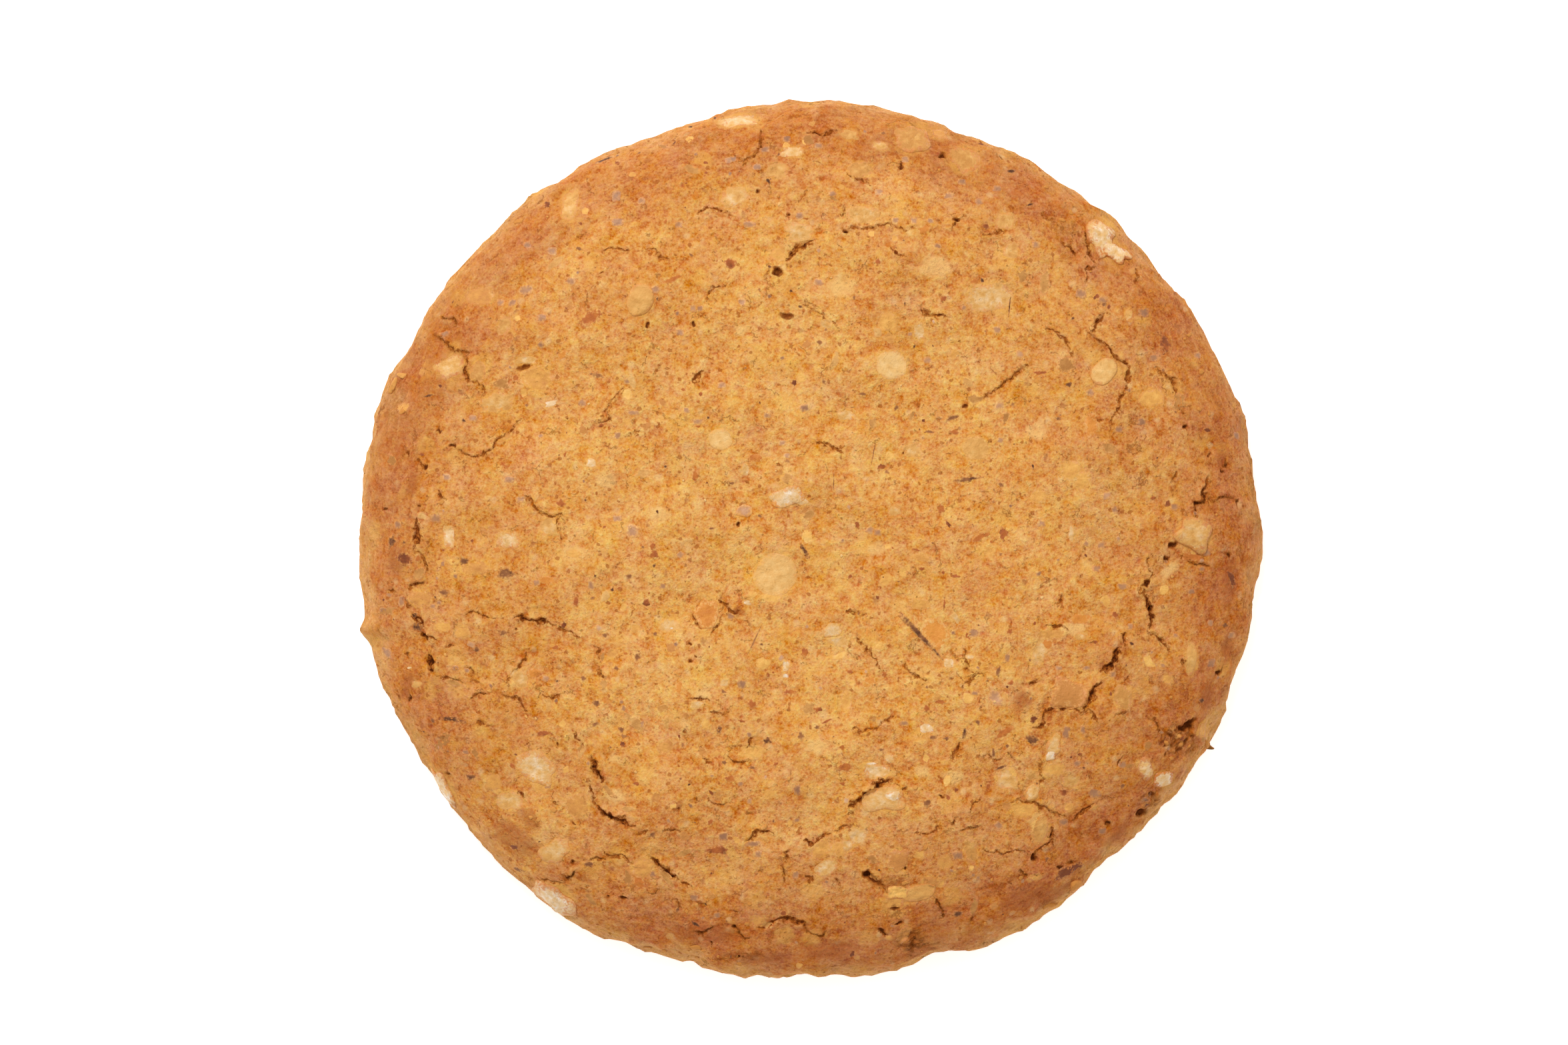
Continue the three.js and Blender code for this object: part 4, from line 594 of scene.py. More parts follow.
def keep_values(piece: bpy.types.Object, values: dict[str, Array]) -> None:
    """Store numbers for each vertex, which a material reads by their names.

    Args:
        piece: The piece.
        values: The numbers, by the name to store them under.
    """
    for name, numbers in values.items():
        layer = piece.data.attributes.new(name, "FLOAT", "POINT")
        layer.data.foreach_set("value", numbers.astype(np.float32))


def select_only(piece: bpy.types.Object) -> None:
    """Deselect everything but one piece, which becomes the active one.

    Args:
        piece: The piece.
    """
    bpy.ops.object.select_all(action="DESELECT")
    piece.select_set(True)
    bpy.context.view_layer.objects.active = piece


def add_ball(detail: int, radius: float) -> bpy.types.Object:
    """Add a ball of triangles at the origin, the only thing selected.

    Args:
        detail: How often its faces are divided.
        radius: Its radius in metres.

    Returns:
        The ball.
    """
    bpy.ops.object.select_all(action="DESELECT")
    bpy.ops.mesh.primitive_ico_sphere_add(subdivisions=detail, radius=radius)
    return bpy.context.active_object


def smooth_step(values: Array, low: float, high: float) -> Array:
    """Rise smoothly from 0 at low to 1 at high."""
    share = np.clip((values - low) / (high - low), 0, 1)
    return share * share * (3 - 2 * share)


def grain(points: Array, size: float, seed: int = 0) -> Array:
    """Smooth noise between about -1 and 1 at points in space.

    Args:
        points: Places in mm, one row each, in the plane or in space.
        size: How far apart its swells are, in mm.
        seed: Picks another pattern of the same kind.

    Returns:
        The noise at each point.
    """
    seed_step = np.array([17.3, 41.9, 73.1])
    places = np.zeros((len(points), 3))
    places[:, : points.shape[1]] = points
    places = places / size + seed_step * (seed + 1)
    return np.fromiter((noise.noise(Vector(place)) for place in places), float, len(places))


class Wave(NamedTuple):
    """One size of roll in a surface: how far apart its crests are and how high, in mm."""

    length: float
    height: float


class Rise(NamedTuple):
    """Something that sets in smoothly between two places, and how strong it is at the end."""

    low: float
    high: float
    strength: float = 1.0

    def at(self, places: Array) -> Array:
        """Return how strong it is at each place."""
        return self.strength * smooth_step(places, self.low, self.high)


def shaken(points: Array, wave: Wave, seed: int) -> Array:
    """Return how far noise of one size shifts each point in the plan, in mm."""
    return wave.height * np.column_stack([grain(points, wave.length, seed + step) for step in (0, 1)])


def bit_distance(points: Array, bit: Bit) -> Array:
    """How far points of the plan are from a bit's middle: 1 on its outline.

    Args:
        points: Places in mm.
        bit: The bit.

    Returns:
        The distance of each, against the outline's.
    """
    away = points[:, :2] - (bit.x, bit.y)
    turn = math.radians(bit.turn)
    along = away[:, 0] * math.cos(turn) + away[:, 1] * math.sin(turn)
    across = away[:, 1] * math.cos(turn) - away[:, 0] * math.sin(turn)
    return np.hypot(along / (bit.length / 2), across / (bit.width / 2))


def boxed(plan: Array, path: Array, margin: float) -> Array:
    """Return the numbers of the points that are in a path's box, widened by a margin in mm."""
    low, high = path.min(axis=0) - margin, path.max(axis=0) + margin
    return np.flatnonzero(np.all((plan > low) & (plan < high), axis=1))


class Trail(NamedTuple):
    """Where points lie by a path: how far from it, how far along it, on which side (1 is left,
    -1 is right) and how far past its end, and how long the path is, all in mm."""

    away: Array
    run: Array
    side: Array
    past: Array
    length: float

    @classmethod
    def follow(cls, plan: Array, path: Array) -> Trail:
        """Measure points by the nearest stretch of a path.

        Args:
            plan: Places in mm.
            path: The corners of the path, in mm.

        Returns:
            The measures.
        """
        away = np.full(len(plan), np.inf)
        run, side, past = np.zeros(len(plan)), np.ones(len(plan)), np.zeros(len(plan))
        start = 0.0
        for a, b in zip(path[:-1], path[1:]):
            line = b - a
            length = float(np.hypot(*line))
            free = (plan - a) @ line / length**2
            t = np.clip(free, 0, 1)
            offset = plan - (a + t[:, None] * line)
            distance = np.hypot(offset[:, 0], offset[:, 1])
            closer = distance < away
            away[closer] = distance[closer]
            run[closer] = start + t[closer] * length
            past[closer] = (np.abs(free - t) * length)[closer]
            side[closer] = np.where(line[0] * offset[closer, 1] > line[1] * offset[closer, 0], 1, -1)
            start += length
        return cls(away, run, side, np.where((run > 0) & (run < start), 0, past), start)


# ------------------------------------------------------------------------- form of the dough


@dataclass
class Dough:
    """The form that the ball of dough was pressed to, the same as the solid's, and how brown its crust is
    painted, partly as the oven browned it and partly as painted shade. Sizes are in mm, and fractions are of
    the way from the middle to the edge."""

    thickness: float = 8.3
    belt_height: float = 1.7
    shoulder_power: float = 4.4
    foot_tuck: float = 0.9
    base_share: float = 0.1  # how closely the hidden base is meshed, against the top
    dome_steps: int = 400
    foot_steps: int = 40
    waves_per_size: int = 5
    edge_fade: Rise = Rise(0.9, 1)
    lumps: tuple[Wave, ...] = (Wave(19, 0.2), Wave(9.5, 0.11), Wave(4.8, 0.07))
    ripples: tuple[Wave, ...] = (Wave(6.5, 0.16), Wave(3.1, 0.09), Wave(1.5, 0.05))
    side_end: Rise = Rise(2.4, 4.4)
    side_waves: tuple[Wave, ...] = (Wave(5, 0.5), Wave(2.2, 0.4))
    browner_side_azimuth: float = -60.0  # azimuth in degrees of the side painted browner: partly the oven's hot side, partly painted shade away from the lamp
    browner_side_gain: float = 0.24
    shoulder_browning: tuple[Rise, ...] = (Rise(0.45, 0.95, 0.55), Rise(0.8, 0.95, 0.45))
    inner_darkening: Rise = Rise(0.3, 0.7, 0.12)
    rim_start: Rise = Rise(0.74, 0.93)
    oven_patches: tuple[Wave, ...] = (Wave(16, 0.07), Wave(7, 0.07))

    def edge_radius(self, azimuth: Array) -> Array:
        """Distance from the origin to the widest edge, by a smooth closed curve.

        Args:
            azimuth: Directions in radians.

        Returns:
            The radius in each direction, in mm.
        """
        radii = np.array(EDGE_RADII)
        place = np.mod(azimuth / math.tau, 1.0) * len(radii)
        index = np.floor(place).astype(int)
        t = place - index
        a, b, c, d = (radii[(index + step) % len(radii)] for step in (-1, 0, 1, 2))
        bend = (2 * a - 5 * b + 4 * c - d) * t * t + (3 * b - a - 3 * c + d) * t**3
        return 0.5 * (2 * b + (c - a) * t + bend)

    def polar(self, points: Array) -> tuple[Array, Array]:
        """Return each point's azimuth in radians, and its fraction of the way to the edge."""
        azimuth = np.arctan2(points[:, 1], points[:, 0])
        return azimuth, np.hypot(points[:, 0], points[:, 1]) / self.edge_radius(azimuth)

    def around(self, azimuth: Array, values: tuple[float, ...]) -> Array:
        """Return in each direction what values say, the first at half a step from +X."""
        step = 360 / len(values)
        return np.interp(np.degrees(azimuth), step * (0.5 + np.arange(len(values))), values, period=360)

    def rolling(self, x: Array, y: Array, waves: tuple[Wave, ...]) -> Array:
        """Sum of crossed waves in the plane, which makes a rolling surface.

        Args:
            x: Places to the right, in mm.
            y: Places to the back, in mm.
            waves: The sizes of wave.

        Returns:
            The height at each place, in mm.
        """
        height = np.zeros_like(x)
        turn = 0.0
        golden_angle = math.pi * (3 - math.sqrt(5))
        for wave in waves:
            for _ in range(self.waves_per_size):
                turn += golden_angle
                along = x * math.cos(turn) + y * math.sin(turn)
                height += wave.height / 2 * np.sin(math.tau * along / wave.length + turn * 7)
        return height

    def nibs(self, azimuth: Array) -> Array:
        """How far the steps and nibs of the edge stand out.

        Args:
            azimuth: Directions in radians.

        Returns:
            The reach in each direction, in mm.
        """
        total = np.zeros_like(azimuth)
        for where, reach, width in EDGE_NIBS:
            away = np.degrees(np.angle(np.exp(1j * (azimuth - math.radians(where)))))
            total += reach * np.exp(-((away / width) ** 2))
        return total

    def section(self, share: Array) -> tuple[Array, Array, Array]:
        """The section at shares of its area, 0 at the crown and 1 at the middle of the base.

        Args:
            share: Shares of the area.

        Returns:
            Fraction of the edge radius, height in mm and how far it is tucked in, in mm.
        """
        over = np.linspace(0, math.pi / 2, self.dome_steps)
        under = np.linspace(0, math.pi / 2, self.foot_steps)[1:]
        base = np.linspace(1, 0, self.foot_steps)[1:]
        dome = self.thickness - self.belt_height
        fraction = np.concatenate([np.sin(over) ** (2 / self.shoulder_power), np.ones(len(under)), base])
        foot = self.belt_height * (1 - np.sin(under))
        height = np.concatenate([self.belt_height + dome * np.cos(over), foot, np.zeros(len(base))])
        curl = self.foot_tuck * (1 - np.cos(under))
        tuck = np.concatenate([np.zeros(len(over)), curl, self.foot_tuck * base])
        step = np.hypot(np.diff(fraction) * float(np.mean(EDGE_RADII)), np.diff(height))
        weight = np.where(height[1:] + height[:-1] == 0, self.base_share, 1.0)
        spent = np.concatenate([[0], np.cumsum(weight * step * (fraction[1:] + fraction[:-1]) / 2)])
        spent /= spent[-1]
        return tuple(np.interp(share, spent, values) for values in (fraction, height, tuck))

    def press(self, ball: Array) -> Array:
        """Press the points of a unit ball to the cookie's form.

        Args:
            ball: Points on a ball of radius 1.

        Returns:
            Where each goes, in mm.
        """
        azimuth = np.arctan2(ball[:, 1], ball[:, 0])
        fraction, height, tuck = self.section((1 - ball[:, 2]) / 2)
        edge = self.edge_radius(azimuth)
        inside = 1 - self.edge_fade.at(fraction)
        side = (1 - inside) * np.minimum(height / self.belt_height, 1)
        out_x, out_y = edge * np.cos(azimuth), edge * np.sin(azimuth)
        ripple = self.rolling(out_x + height, out_y - height, self.ripples) * side
        radius = fraction * edge - tuck + ripple + self.nibs(azimuth) * side
        x, y = radius * np.cos(azimuth), radius * np.sin(azimuth)
        lump = np.where(height > self.belt_height, self.rolling(x, y, self.lumps) * inside, 0)
        return np.column_stack([x, y, height + lump])

    def browning(self, points: Array) -> Array:
        """How brown the crust is painted: most on the shoulder, and more at the front right, where it is
        partly browned by the oven's hot side and partly painted shade away from the lamp.

        Args:
            points: Places in mm.

        Returns:
            0 for golden to 1 for brown at each point.
        """
        azimuth, fraction = self.polar(points)
        # Browner toward the front right, away from the lamp: partly the oven's hot side and partly painted
        # shade.
        toward_browner_side = 0.5 + 0.5 * np.cos(azimuth - math.radians(self.browner_side_azimuth))
        broad = sum(rise.at(fraction) for rise in self.shoulder_browning)
        uneven = self.rolling(points[:, 0], points[:, 1], self.oven_patches)
        inner = toward_browner_side * self.inner_darkening.at(fraction)
        # Below 0 the rim table paints the rim paler, partly as painted light.
        paler_rim = np.minimum(self.rim_shade_and_browning(points), 0)
        return np.clip(broad * (1 - self.browner_side_gain + self.browner_side_gain * toward_browner_side) + inner + paler_rim + uneven, 0, 1)

    def rim_shade_and_browning(self, points: Array) -> Array:
        """Return how much browner the rim is painted than even baking would make it, partly as painted shade,
        0 inside the rim.
        """
        azimuth, fraction = self.polar(points)
        return self.around(azimuth, RIM_SHADE_AND_BROWNING) * self.rim_start.at(fraction)

    def sideness(self, points: Array) -> Array:
        """Return 1 on the side of the cookie, falling to 0 over the shoulder."""
        uneven = self.rolling(points[:, 0], points[:, 1], self.side_waves)
        return 1 - self.side_end.at(points[:, 2] + uneven)

    def paleness(self, points: Array) -> Array:
        """Return how far points keep the pale colour of a side that baked least, 0 on the top."""
        azimuth, _ = self.polar(points)
        return np.clip(self.sideness(points) * self.around(azimuth, SIDE_PALENESS), 0, 1)


# -------------------------------------------------------------------------------- the crust


@dataclass
class CrackField:
    """The cracks as depths and distances over the plan, in mm."""

    reach: float = 1.3
    width_share: float = 1.05
    evenness: float = 0.85  # least share of a mouth's width, which two beats along it add to
    unevenness: float = 0.4
    beats: tuple[float, float] = (3.1, 7.3)
    beat_shift: float = 2.3  # from one crack to the next
    typical_width: float = 0.3
    depth_ratio: float = 0.75
    least_depth: float = 0.05
    most_depth: float = 1.1
    wall: float = 0.05
    wall_power: float = 0.8
    taper_share: float = 0.28  # of its length, over which each end narrows
    taper_length: float = 0.12
    least_taper: float = 0.06
    end_slope: float = 1.5
    free_reach: float = 0.4
    far_slope: float = 2.0
    lip_height: float = 0.05
    lip_width: float = 0.24
    ledge: float = 0.08
    ledge_width: float = 0.45  # against the reach
    ledge_start: Rise = Rise(0, 0.12)
    jags: tuple[Wave, ...] = (Wave(0.9, 0.26), Wave(0.45, 0.15), Wave(0.22, 0.06))

    def measure(self, points: Array) -> tuple[Array, Array, Array]:
        """Measure the cracks at points of the top.

        Args:
            points: Places in mm.

        Returns:
            How far across the nearest crack each lies, left of it or right of it; half the width
            of that crack's mouth there, below 0 past its ends; and how far the point moves out
            along the crust's normal, all in mm.
        """
        across = np.full(len(points), self.reach)
        mouth = np.full(len(points), -self.reach)
        move = np.zeros(len(points))
        plan = points[:, :2]
        jagged = plan + sum(shaken(plan, jag, 2 * number + 1) for number, jag in enumerate(self.jags))
        for number, crack in enumerate(CRACKS):
            near = boxed(plan, np.array(crack.path), self.reach)
            if len(near) == 0:
                continue
            offset, half, out = self.one_crack(jagged[near], crack, number)
            wins = half - np.abs(offset) > mouth[near] - np.abs(across[near])
            across[near[wins]], mouth[near[wins]] = offset[wins], half[wins]
            move[near] += out
        return across, mouth, np.maximum(move, -self.most_depth)

    def one_crack(self, plan: Array, crack: Crack, number: int) -> tuple[Array, Array, Array]:
        """Measure one crack at points near it.

        Args:
            plan: Places in mm.
            crack: The crack.
            number: Its number, which picks its waviness and the side that lies lower.

        Returns:
            The same as measure gives, for this crack alone.
        """
        away, run, side, past, length = Trail.follow(plan, np.array(crack.path))
        to_end = np.minimum(run, length - run)
        narrowing = self.taper_share * length + self.taper_length
        taper = np.sqrt(np.clip(to_end / narrowing, self.least_taper, 1))
        slow, fast = self.beats
        beat = np.sin(run * slow + number) * np.sin(run * fast + self.beat_shift * number)
        half = self.width_share * crack.width / 2 * taper * (self.evenness + self.unevenness * beat)
        strength = crack.width / self.typical_width * taper
        depth = (self.least_depth + self.depth_ratio * crack.width) * taper
        groove = depth * np.clip(1 - away / (half + self.wall), 0, 1) ** self.wall_power
        lip = self.lip_height * strength * np.exp(-((np.maximum(away - half, 0) / self.lip_width) ** 2))
        fall = np.exp(-((away / (self.ledge_width * self.reach)) ** 2))
        lower_side = 1 if number % 2 else -1
        ledge = self.ledge * strength * side * lower_side * fall * self.ledge_start.at(away)
        mouth = half - self.end_slope * past - self.far_slope * np.maximum(away - self.free_reach, 0)
        return side * away, mouth, lip - groove + ledge


class Cover(NamedTuple):
    """How patches cover the crust: where a patch is still whole and where it has faded out,
    against its outline, and how strong it is at tone 0 and how much stronger at tone 1."""

    bits: tuple[Bit, ...]
    core: float
    rim: float
    base: float = 1.0
    gain: float = 0.0

    def at(self, plan: Array) -> Array:
        """Return how strongly the patches cover each point of the plan."""
        layers = ((b.tone, 1 - smooth_step(bit_distance(plan, b), self.core, self.rim)) for b in self.bits)
        return np.max([(self.base + self.gain * tone) * layer for tone, layer in layers], axis=0)


class Closeness(NamedTuple):
    """How near a vertex has to be to a crack, in mm, and to a hollow's or a crumbled place's
    middle, against its outline, for the mesh to be refined there."""

    crack: float
    hollow: float
    crumbled: float


@dataclass
class Crust:
    """The baked body: a ball pressed to form, cracked, pitted and roughened. Sizes are in mm."""

    dough: Dough
    cracks: CrackField
    detail: int = 7
    refined: tuple[Closeness, ...] = (Closeness(0.75, 1.7, 1.1), Closeness(0.32, 1.25, 0.0))
    hollow_margin: float = 0.5
    relief: tuple[Wave, ...] = (Wave(2.6, 0.12), Wave(1.15, 0.18), Wave(0.6, 0.18))
    no_mouth: float = -1.0  # half width of a mouth where no crack is near
    foot: float = 0.35  # height up to which the foot stays smooth
    flat: float = 0.02  # height up to which the base counts as flat
    shoulder: float = 1.0  # height above the belt where the top starts
    raggedness: Wave = Wave(0.4, 0.22)
    hollow_slope: float = 0.75
    hollow_depth: float = 0.8
    most_depth: float = 1.1
    crumbling: tuple[Wave, ...] = (Wave(0.75, 0.3), Wave(0.36, 0.16))
    crumbling_level: float = 0.3
    crumbled_gain: float = 1.6
    side_gain: float = 0.9
    base_pits: tuple[Wave, ...] = (Wave(1.9, 1.6), Wave(0.9, 0.4))
    base_pit_depth: float = 0.16
    covers: tuple[tuple[str, Cover], ...] = (
        ("hollow", Cover(HOLLOWS, 0.55, 1.45, 0.7, 0.6)),
        ("crumbled", Cover(CRUMBLED, 0.6, 1.2, 0.5, 1.0)),
        ("toasted", Cover(TOASTED, 0.25, 1.25)),
        ("pale", Cover(PALE, 0.35, 1.15)),
        ("by_chip", Cover(CHIPS, 0.9, 1.75)),
    )
    piece: bpy.types.Object = field(default=None, repr=False)

    def build(self) -> bpy.types.Object:
        """Model the body.

        Returns:
            Its object, at the origin.
        """
        self.piece = add_ball(self.detail, 1.0)
        self.piece.name = "baked_crust"
        write_points(self.piece, self.dough.press(read_points(self.piece) * MM))
        for closeness in self.refined:
            self.refine(self.near_features(closeness))
        self.roughen()
        self.carve()
        select_only(self.piece)
        bpy.ops.object.shade_smooth()
        return self.piece

    def near_features(self, closeness: Closeness) -> Array:
        """Mark the vertices close to a crack, a hollow or a crumbled place.

        Args:
            closeness: How near they have to be.

        Returns:
            True for each such vertex.
        """
        points = read_points(self.piece)
        plan = points[:, :2]
        near = np.zeros(len(points), dtype=bool)
        for crack in CRACKS:
            path, margin = np.array(crack.path), closeness.crack + crack.width / 2
            around = boxed(plan, path, margin)
            near[around[Trail.follow(plan[around], path).away < margin]] = True
        for bit in HOLLOWS:
            grown = bit._replace(length=bit.length + self.hollow_margin, width=bit.width + self.hollow_margin)
            near |= bit_distance(plan, grown) < closeness.hollow
        for bit in CRUMBLED:
            near |= bit_distance(plan, bit) < closeness.crumbled
        return near & (points[:, 2] > self.dough.belt_height)

    def refine(self, chosen: Array) -> None:
        """Subdivide the faces whose corners are all chosen.

        Args:
            chosen: True for each chosen vertex.
        """
        mesh = self.piece.data
        edges = read_rows(mesh.edges, "vertices", np.int32, 2, 2)
        mesh.vertices.foreach_set("select", chosen)
        mesh.edges.foreach_set("select", chosen[edges].all(axis=1))
        mesh.polygons.foreach_set("select", chosen[read_triangles(self.piece)].all(axis=1))
        select_only(self.piece)
        bpy.ops.object.mode_set(mode="EDIT")
        bpy.ops.mesh.subdivide(number_cuts=1)
        bpy.ops.mesh.select_all(action="SELECT")
        bpy.ops.mesh.quads_convert_to_tris()
        bpy.ops.object.mode_set(mode="OBJECT")

    def roughen(self) -> None:
        """Raise and sink the crust by cloudy relief of a few sizes, all but the flat base."""
        above_foot = np.flatnonzero(read_points(self.piece)[:, 2] > self.foot).tolist()
        self.piece.vertex_groups.new(name="above foot").add(above_foot, 1.0, "REPLACE")
        select_only(self.piece)
        for number, wave in enumerate(self.relief):
            before, out = read_points(self.piece), read_normals(self.piece)
            clouds = bpy.data.textures.new(f"crust relief {number}", "CLOUDS")
            clouds.noise_scale = wave.length * MM
            clouds.noise_depth = 1
            bump = self.piece.modifiers.new(f"relief {number}", "DISPLACE")
            bump.texture = clouds
            bump.texture_coords = "LOCAL"
            bump.strength = wave.height * MM
            bump.mid_level = 0.5
            bump.vertex_group = "above foot"
            bpy.ops.object.modifier_apply(modifier=bump.name)
        # How far the relief moved each vertex out; the crumb is painted lighter where it rose and darker
        # where it sank: painted light and painted shade.
        keep_values(self.piece, {"raised": ((read_points(self.piece) - before) * out).sum(axis=1)})

    def carve(self) -> None:
        """Cut the cracks and hollows, crumble the broken places and keep what the finish reads."""
        points, out = read_points(self.piece), read_normals(self.piece)
        top = points[:, 2] > self.dough.belt_height + self.shoulder
        across, mouth = np.full(len(points), self.cracks.reach), np.full(len(points), self.no_mouth)
        move = np.zeros(len(points))
        across[top], mouth[top], move[top] = self.cracks.measure(points[top])
        uneven = points[:, :2] + shaken(points, self.raggedness, 5)
        kept = {name: cover.at(uneven) * top for name, cover in self.covers}
        for bit in HOLLOWS:
            depth = min(self.hollow_slope * bit.width, self.hollow_depth)
            move -= depth * np.clip(1 - bit_distance(uneven, bit) ** 2, 0, 1) * top
        side = self.dough.sideness(points) * (points[:, 2] > self.foot)
        broken = np.maximum(self.crumbled_gain * kept["crumbled"], self.side_gain * side)
        for seed, wave in enumerate(self.crumbling, start=7):
            move += broken * wave.height * (np.abs(grain(points, wave.length, seed)) - self.crumbling_level)
        points += out * np.maximum(move, -self.most_depth)[:, None]
        pits = np.zeros(len(points))
        for seed, wave in enumerate(self.base_pits, start=9):
            pits += wave.height * grain(points[:, :2], wave.length, seed)
        base = self.base_pit_depth * np.clip(pits, 0, 1)
        points[:, 2] = np.where(points[:, 2] < self.flat, base, np.maximum(points[:, 2], 0))
        write_points(self.piece, points)
        # The rim's extra darkening, partly painted shade, is laid on with the toasted patches.
        kept["toasted"] = np.maximum(kept["toasted"], self.dough.rim_shade_and_browning(points) * top)
        kept |= {"across crack": across, "crack mouth": np.maximum(mouth, self.no_mouth)}
        kept |= {"browning": self.dough.browning(points), "side": self.dough.paleness(points)}
        keep_values(self.piece, kept)

    def surface(self) -> BVHTree:
        """Return the crust's surface, in mm, for setting bits on."""
        return BVHTree.FromPolygons(read_points(self.piece).tolist(), read_triangles(self.piece).tolist())


# ------------------------------------------------------------------ what is set in the crust


class Outline(Enum):
    """How a bit was cut or broken: the power of its outline and how ragged that is."""

    ROUNDED = (2.1, 0.03)
    CHOPPED = (2.8, 0.12)
    BLOCKY = (4.0, 0.08)
    SPLINTER = (1.7, 0.18)


class Scatter(NamedTuple):
    """Small bits that lie between the others: how many, how long and how slim at least."""

    count: int = 0
    least: float = 0.3
    most: float = 0.6
    slimness: float = 0.7


@dataclass
class Inlay:
    """Bits of one kind, each a flattened ball set in the crust and shaped to it. Sizes are in mm."""

    name: str
    bits: tuple[Bit, ...]
    outline: Outline
    rise: float
    sink: float
    detail: int
    seed: int
    scatter: Scatter = Scatter()
    roughness: float = 0.25
    roughness_size: float = 0.5
    stand: float = 0.7  # share of a bit's given rise
    rise_sunk: float = 0.12  # share of the rise that the bit is set deeper
    hem: float = 1.15
    dome_power: float = 0.45
    hidden_depth: float = 0.35  # against the width
    lobes: int = 8
    lobe_gain: float = 3.2
    scatter_radius: float = 34.4
    clearance: float = 1.3  # from chips, against their outline
    tone_share: float = 0.85
    tone_spread: float = 0.12
    uprightness: float = 0.6  # how much of straight up there is in the way a bit faces
    sky_height: float = 20.0  # from where the crust under a bit is looked for
    side_height: float = 2.4  # and, beyond the edge, from outside at this height
    side_search: float = 3.0
    above: float = 1.5  # how far over a bit's plane its vertices look for the crust
    below: float = 4.0
    overhang_sink: tuple[float, float] = (0.3, 0.5)  # where there is none, and more by height

    def scattered(self) -> list[Bit]:
        """Draw the small bits, spread evenly over the top.

        Returns:
            The bits.
        """
        draw = np.random.default_rng(self.seed)
        spread = []
        while len(spread) < self.scatter.count:
            radius = self.scatter_radius * math.sqrt(draw.random())
            azimuth = math.tau * draw.random()
            x, y = radius * math.cos(azimuth), radius * math.sin(azimuth)
            place = np.array([[x, y]])
            if any(bit_distance(place, chip)[0] < self.clearance for chip in CHIPS + ORANGE_CHIPS):
                continue
            _, least, most, slimness = self.scatter
            length = least + (most - least) * draw.random() ** 2
            width = length * (slimness + (1 - slimness) * draw.random())
            spread.append(Bit(x, y, length, width, 180 * draw.random(), draw.random()))
        return spread

    def template(self) -> tuple[Array, Array]:
        """Model the ball that each bit starts from.

        Returns:
            Its vertices, a unit across the middle, and its triangles.
        """
        ball = add_ball(self.detail, MM)
        points, corners = read_points(ball), read_triangles(ball)
        bpy.data.objects.remove(ball)
        return points, corners

    def shape(self, ball: Array, bit: Bit, draw: np.random.Generator) -> tuple[Array, Array]:
        """Shape one bit in its own plane.

        Args:
            ball: The template's vertices.
            bit: The bit.
            draw: Source of its unevenness.

        Returns:
            Its vertices: along, across and above the crust, in mm; and how near its rim each is.
        """
        power, ragged = self.outline.value
        azimuth = np.arctan2(ball[:, 1], ball[:, 0])
        reach = np.hypot(ball[:, 0], ball[:, 1])
        spread = (np.abs(np.cos(azimuth)) ** power + np.abs(np.sin(azimuth)) ** power) ** (-1 / power)
        for lobes in range(2, self.lobes):
            swing = ragged * draw.random() * self.lobe_gain / lobes
            spread = spread * (1 + swing * np.cos(lobes * azimuth + math.tau * draw.random()) * reach)
        along = ball[:, 0] * spread * self.hem * bit.length / 2
        across = ball[:, 1] * spread * self.hem * bit.width / 2
        rise = self.stand * bit.rise or self.rise
        sink = self.sink + self.rise_sunk * rise
        dome = (rise + sink) * np.clip(ball[:, 2], 0, 1) ** self.dome_power
        hidden = self.hidden_depth * bit.width * np.clip(ball[:, 2], -1, 0)
        return np.column_stack([along, across, dome - sink + hidden]), reach

    def build(self, crust: BVHTree, dough: Dough) -> bpy.types.Object:
        """Set all the bits in the crust as one piece.

        Args:
            crust: The crust's surface.
            dough: The form of the cookie.

        Returns:
            The piece.
        """
        ball, corners = self.template()
        draw = np.random.default_rng(self.seed + 1)
        points, faces, rims, tones = [], [], [], []
        for bit in [*self.bits, *self.scattered()]:
            shaped, reach = self.shape(ball, bit, draw)
            placed = self.set_in(crust, bit, shaped)
            if placed is None:
                LOG.warning("%s: nothing under (%.1f, %.1f)", self.name, bit.x, bit.y)
                continue
            faces.append(corners + len(points) * len(ball))
            points.append(placed)
            rims.append(reach)
            tone = self.tone_share * bit.tone + self.tone_spread * (draw.random() - 0.5)
            tones.append(np.full(len(ball), np.clip(tone, 0, 1)))
        points = np.concatenate(points)
        mesh = bpy.data.meshes.new(self.name)
        mesh.from_pydata((points * MM).tolist(), [], np.concatenate(faces).tolist())
        piece = bpy.data.objects.new(self.name, mesh)
        bpy.context.collection.objects.link(piece)
        keep_values(piece, {"rim": np.concatenate(rims), "tone": np.concatenate(tones)})
        keep_values(piece, {"browning": dough.browning(points), "side": dough.paleness(points)})
        select_only(piece)
        bpy.ops.object.shade_smooth()
        return piece

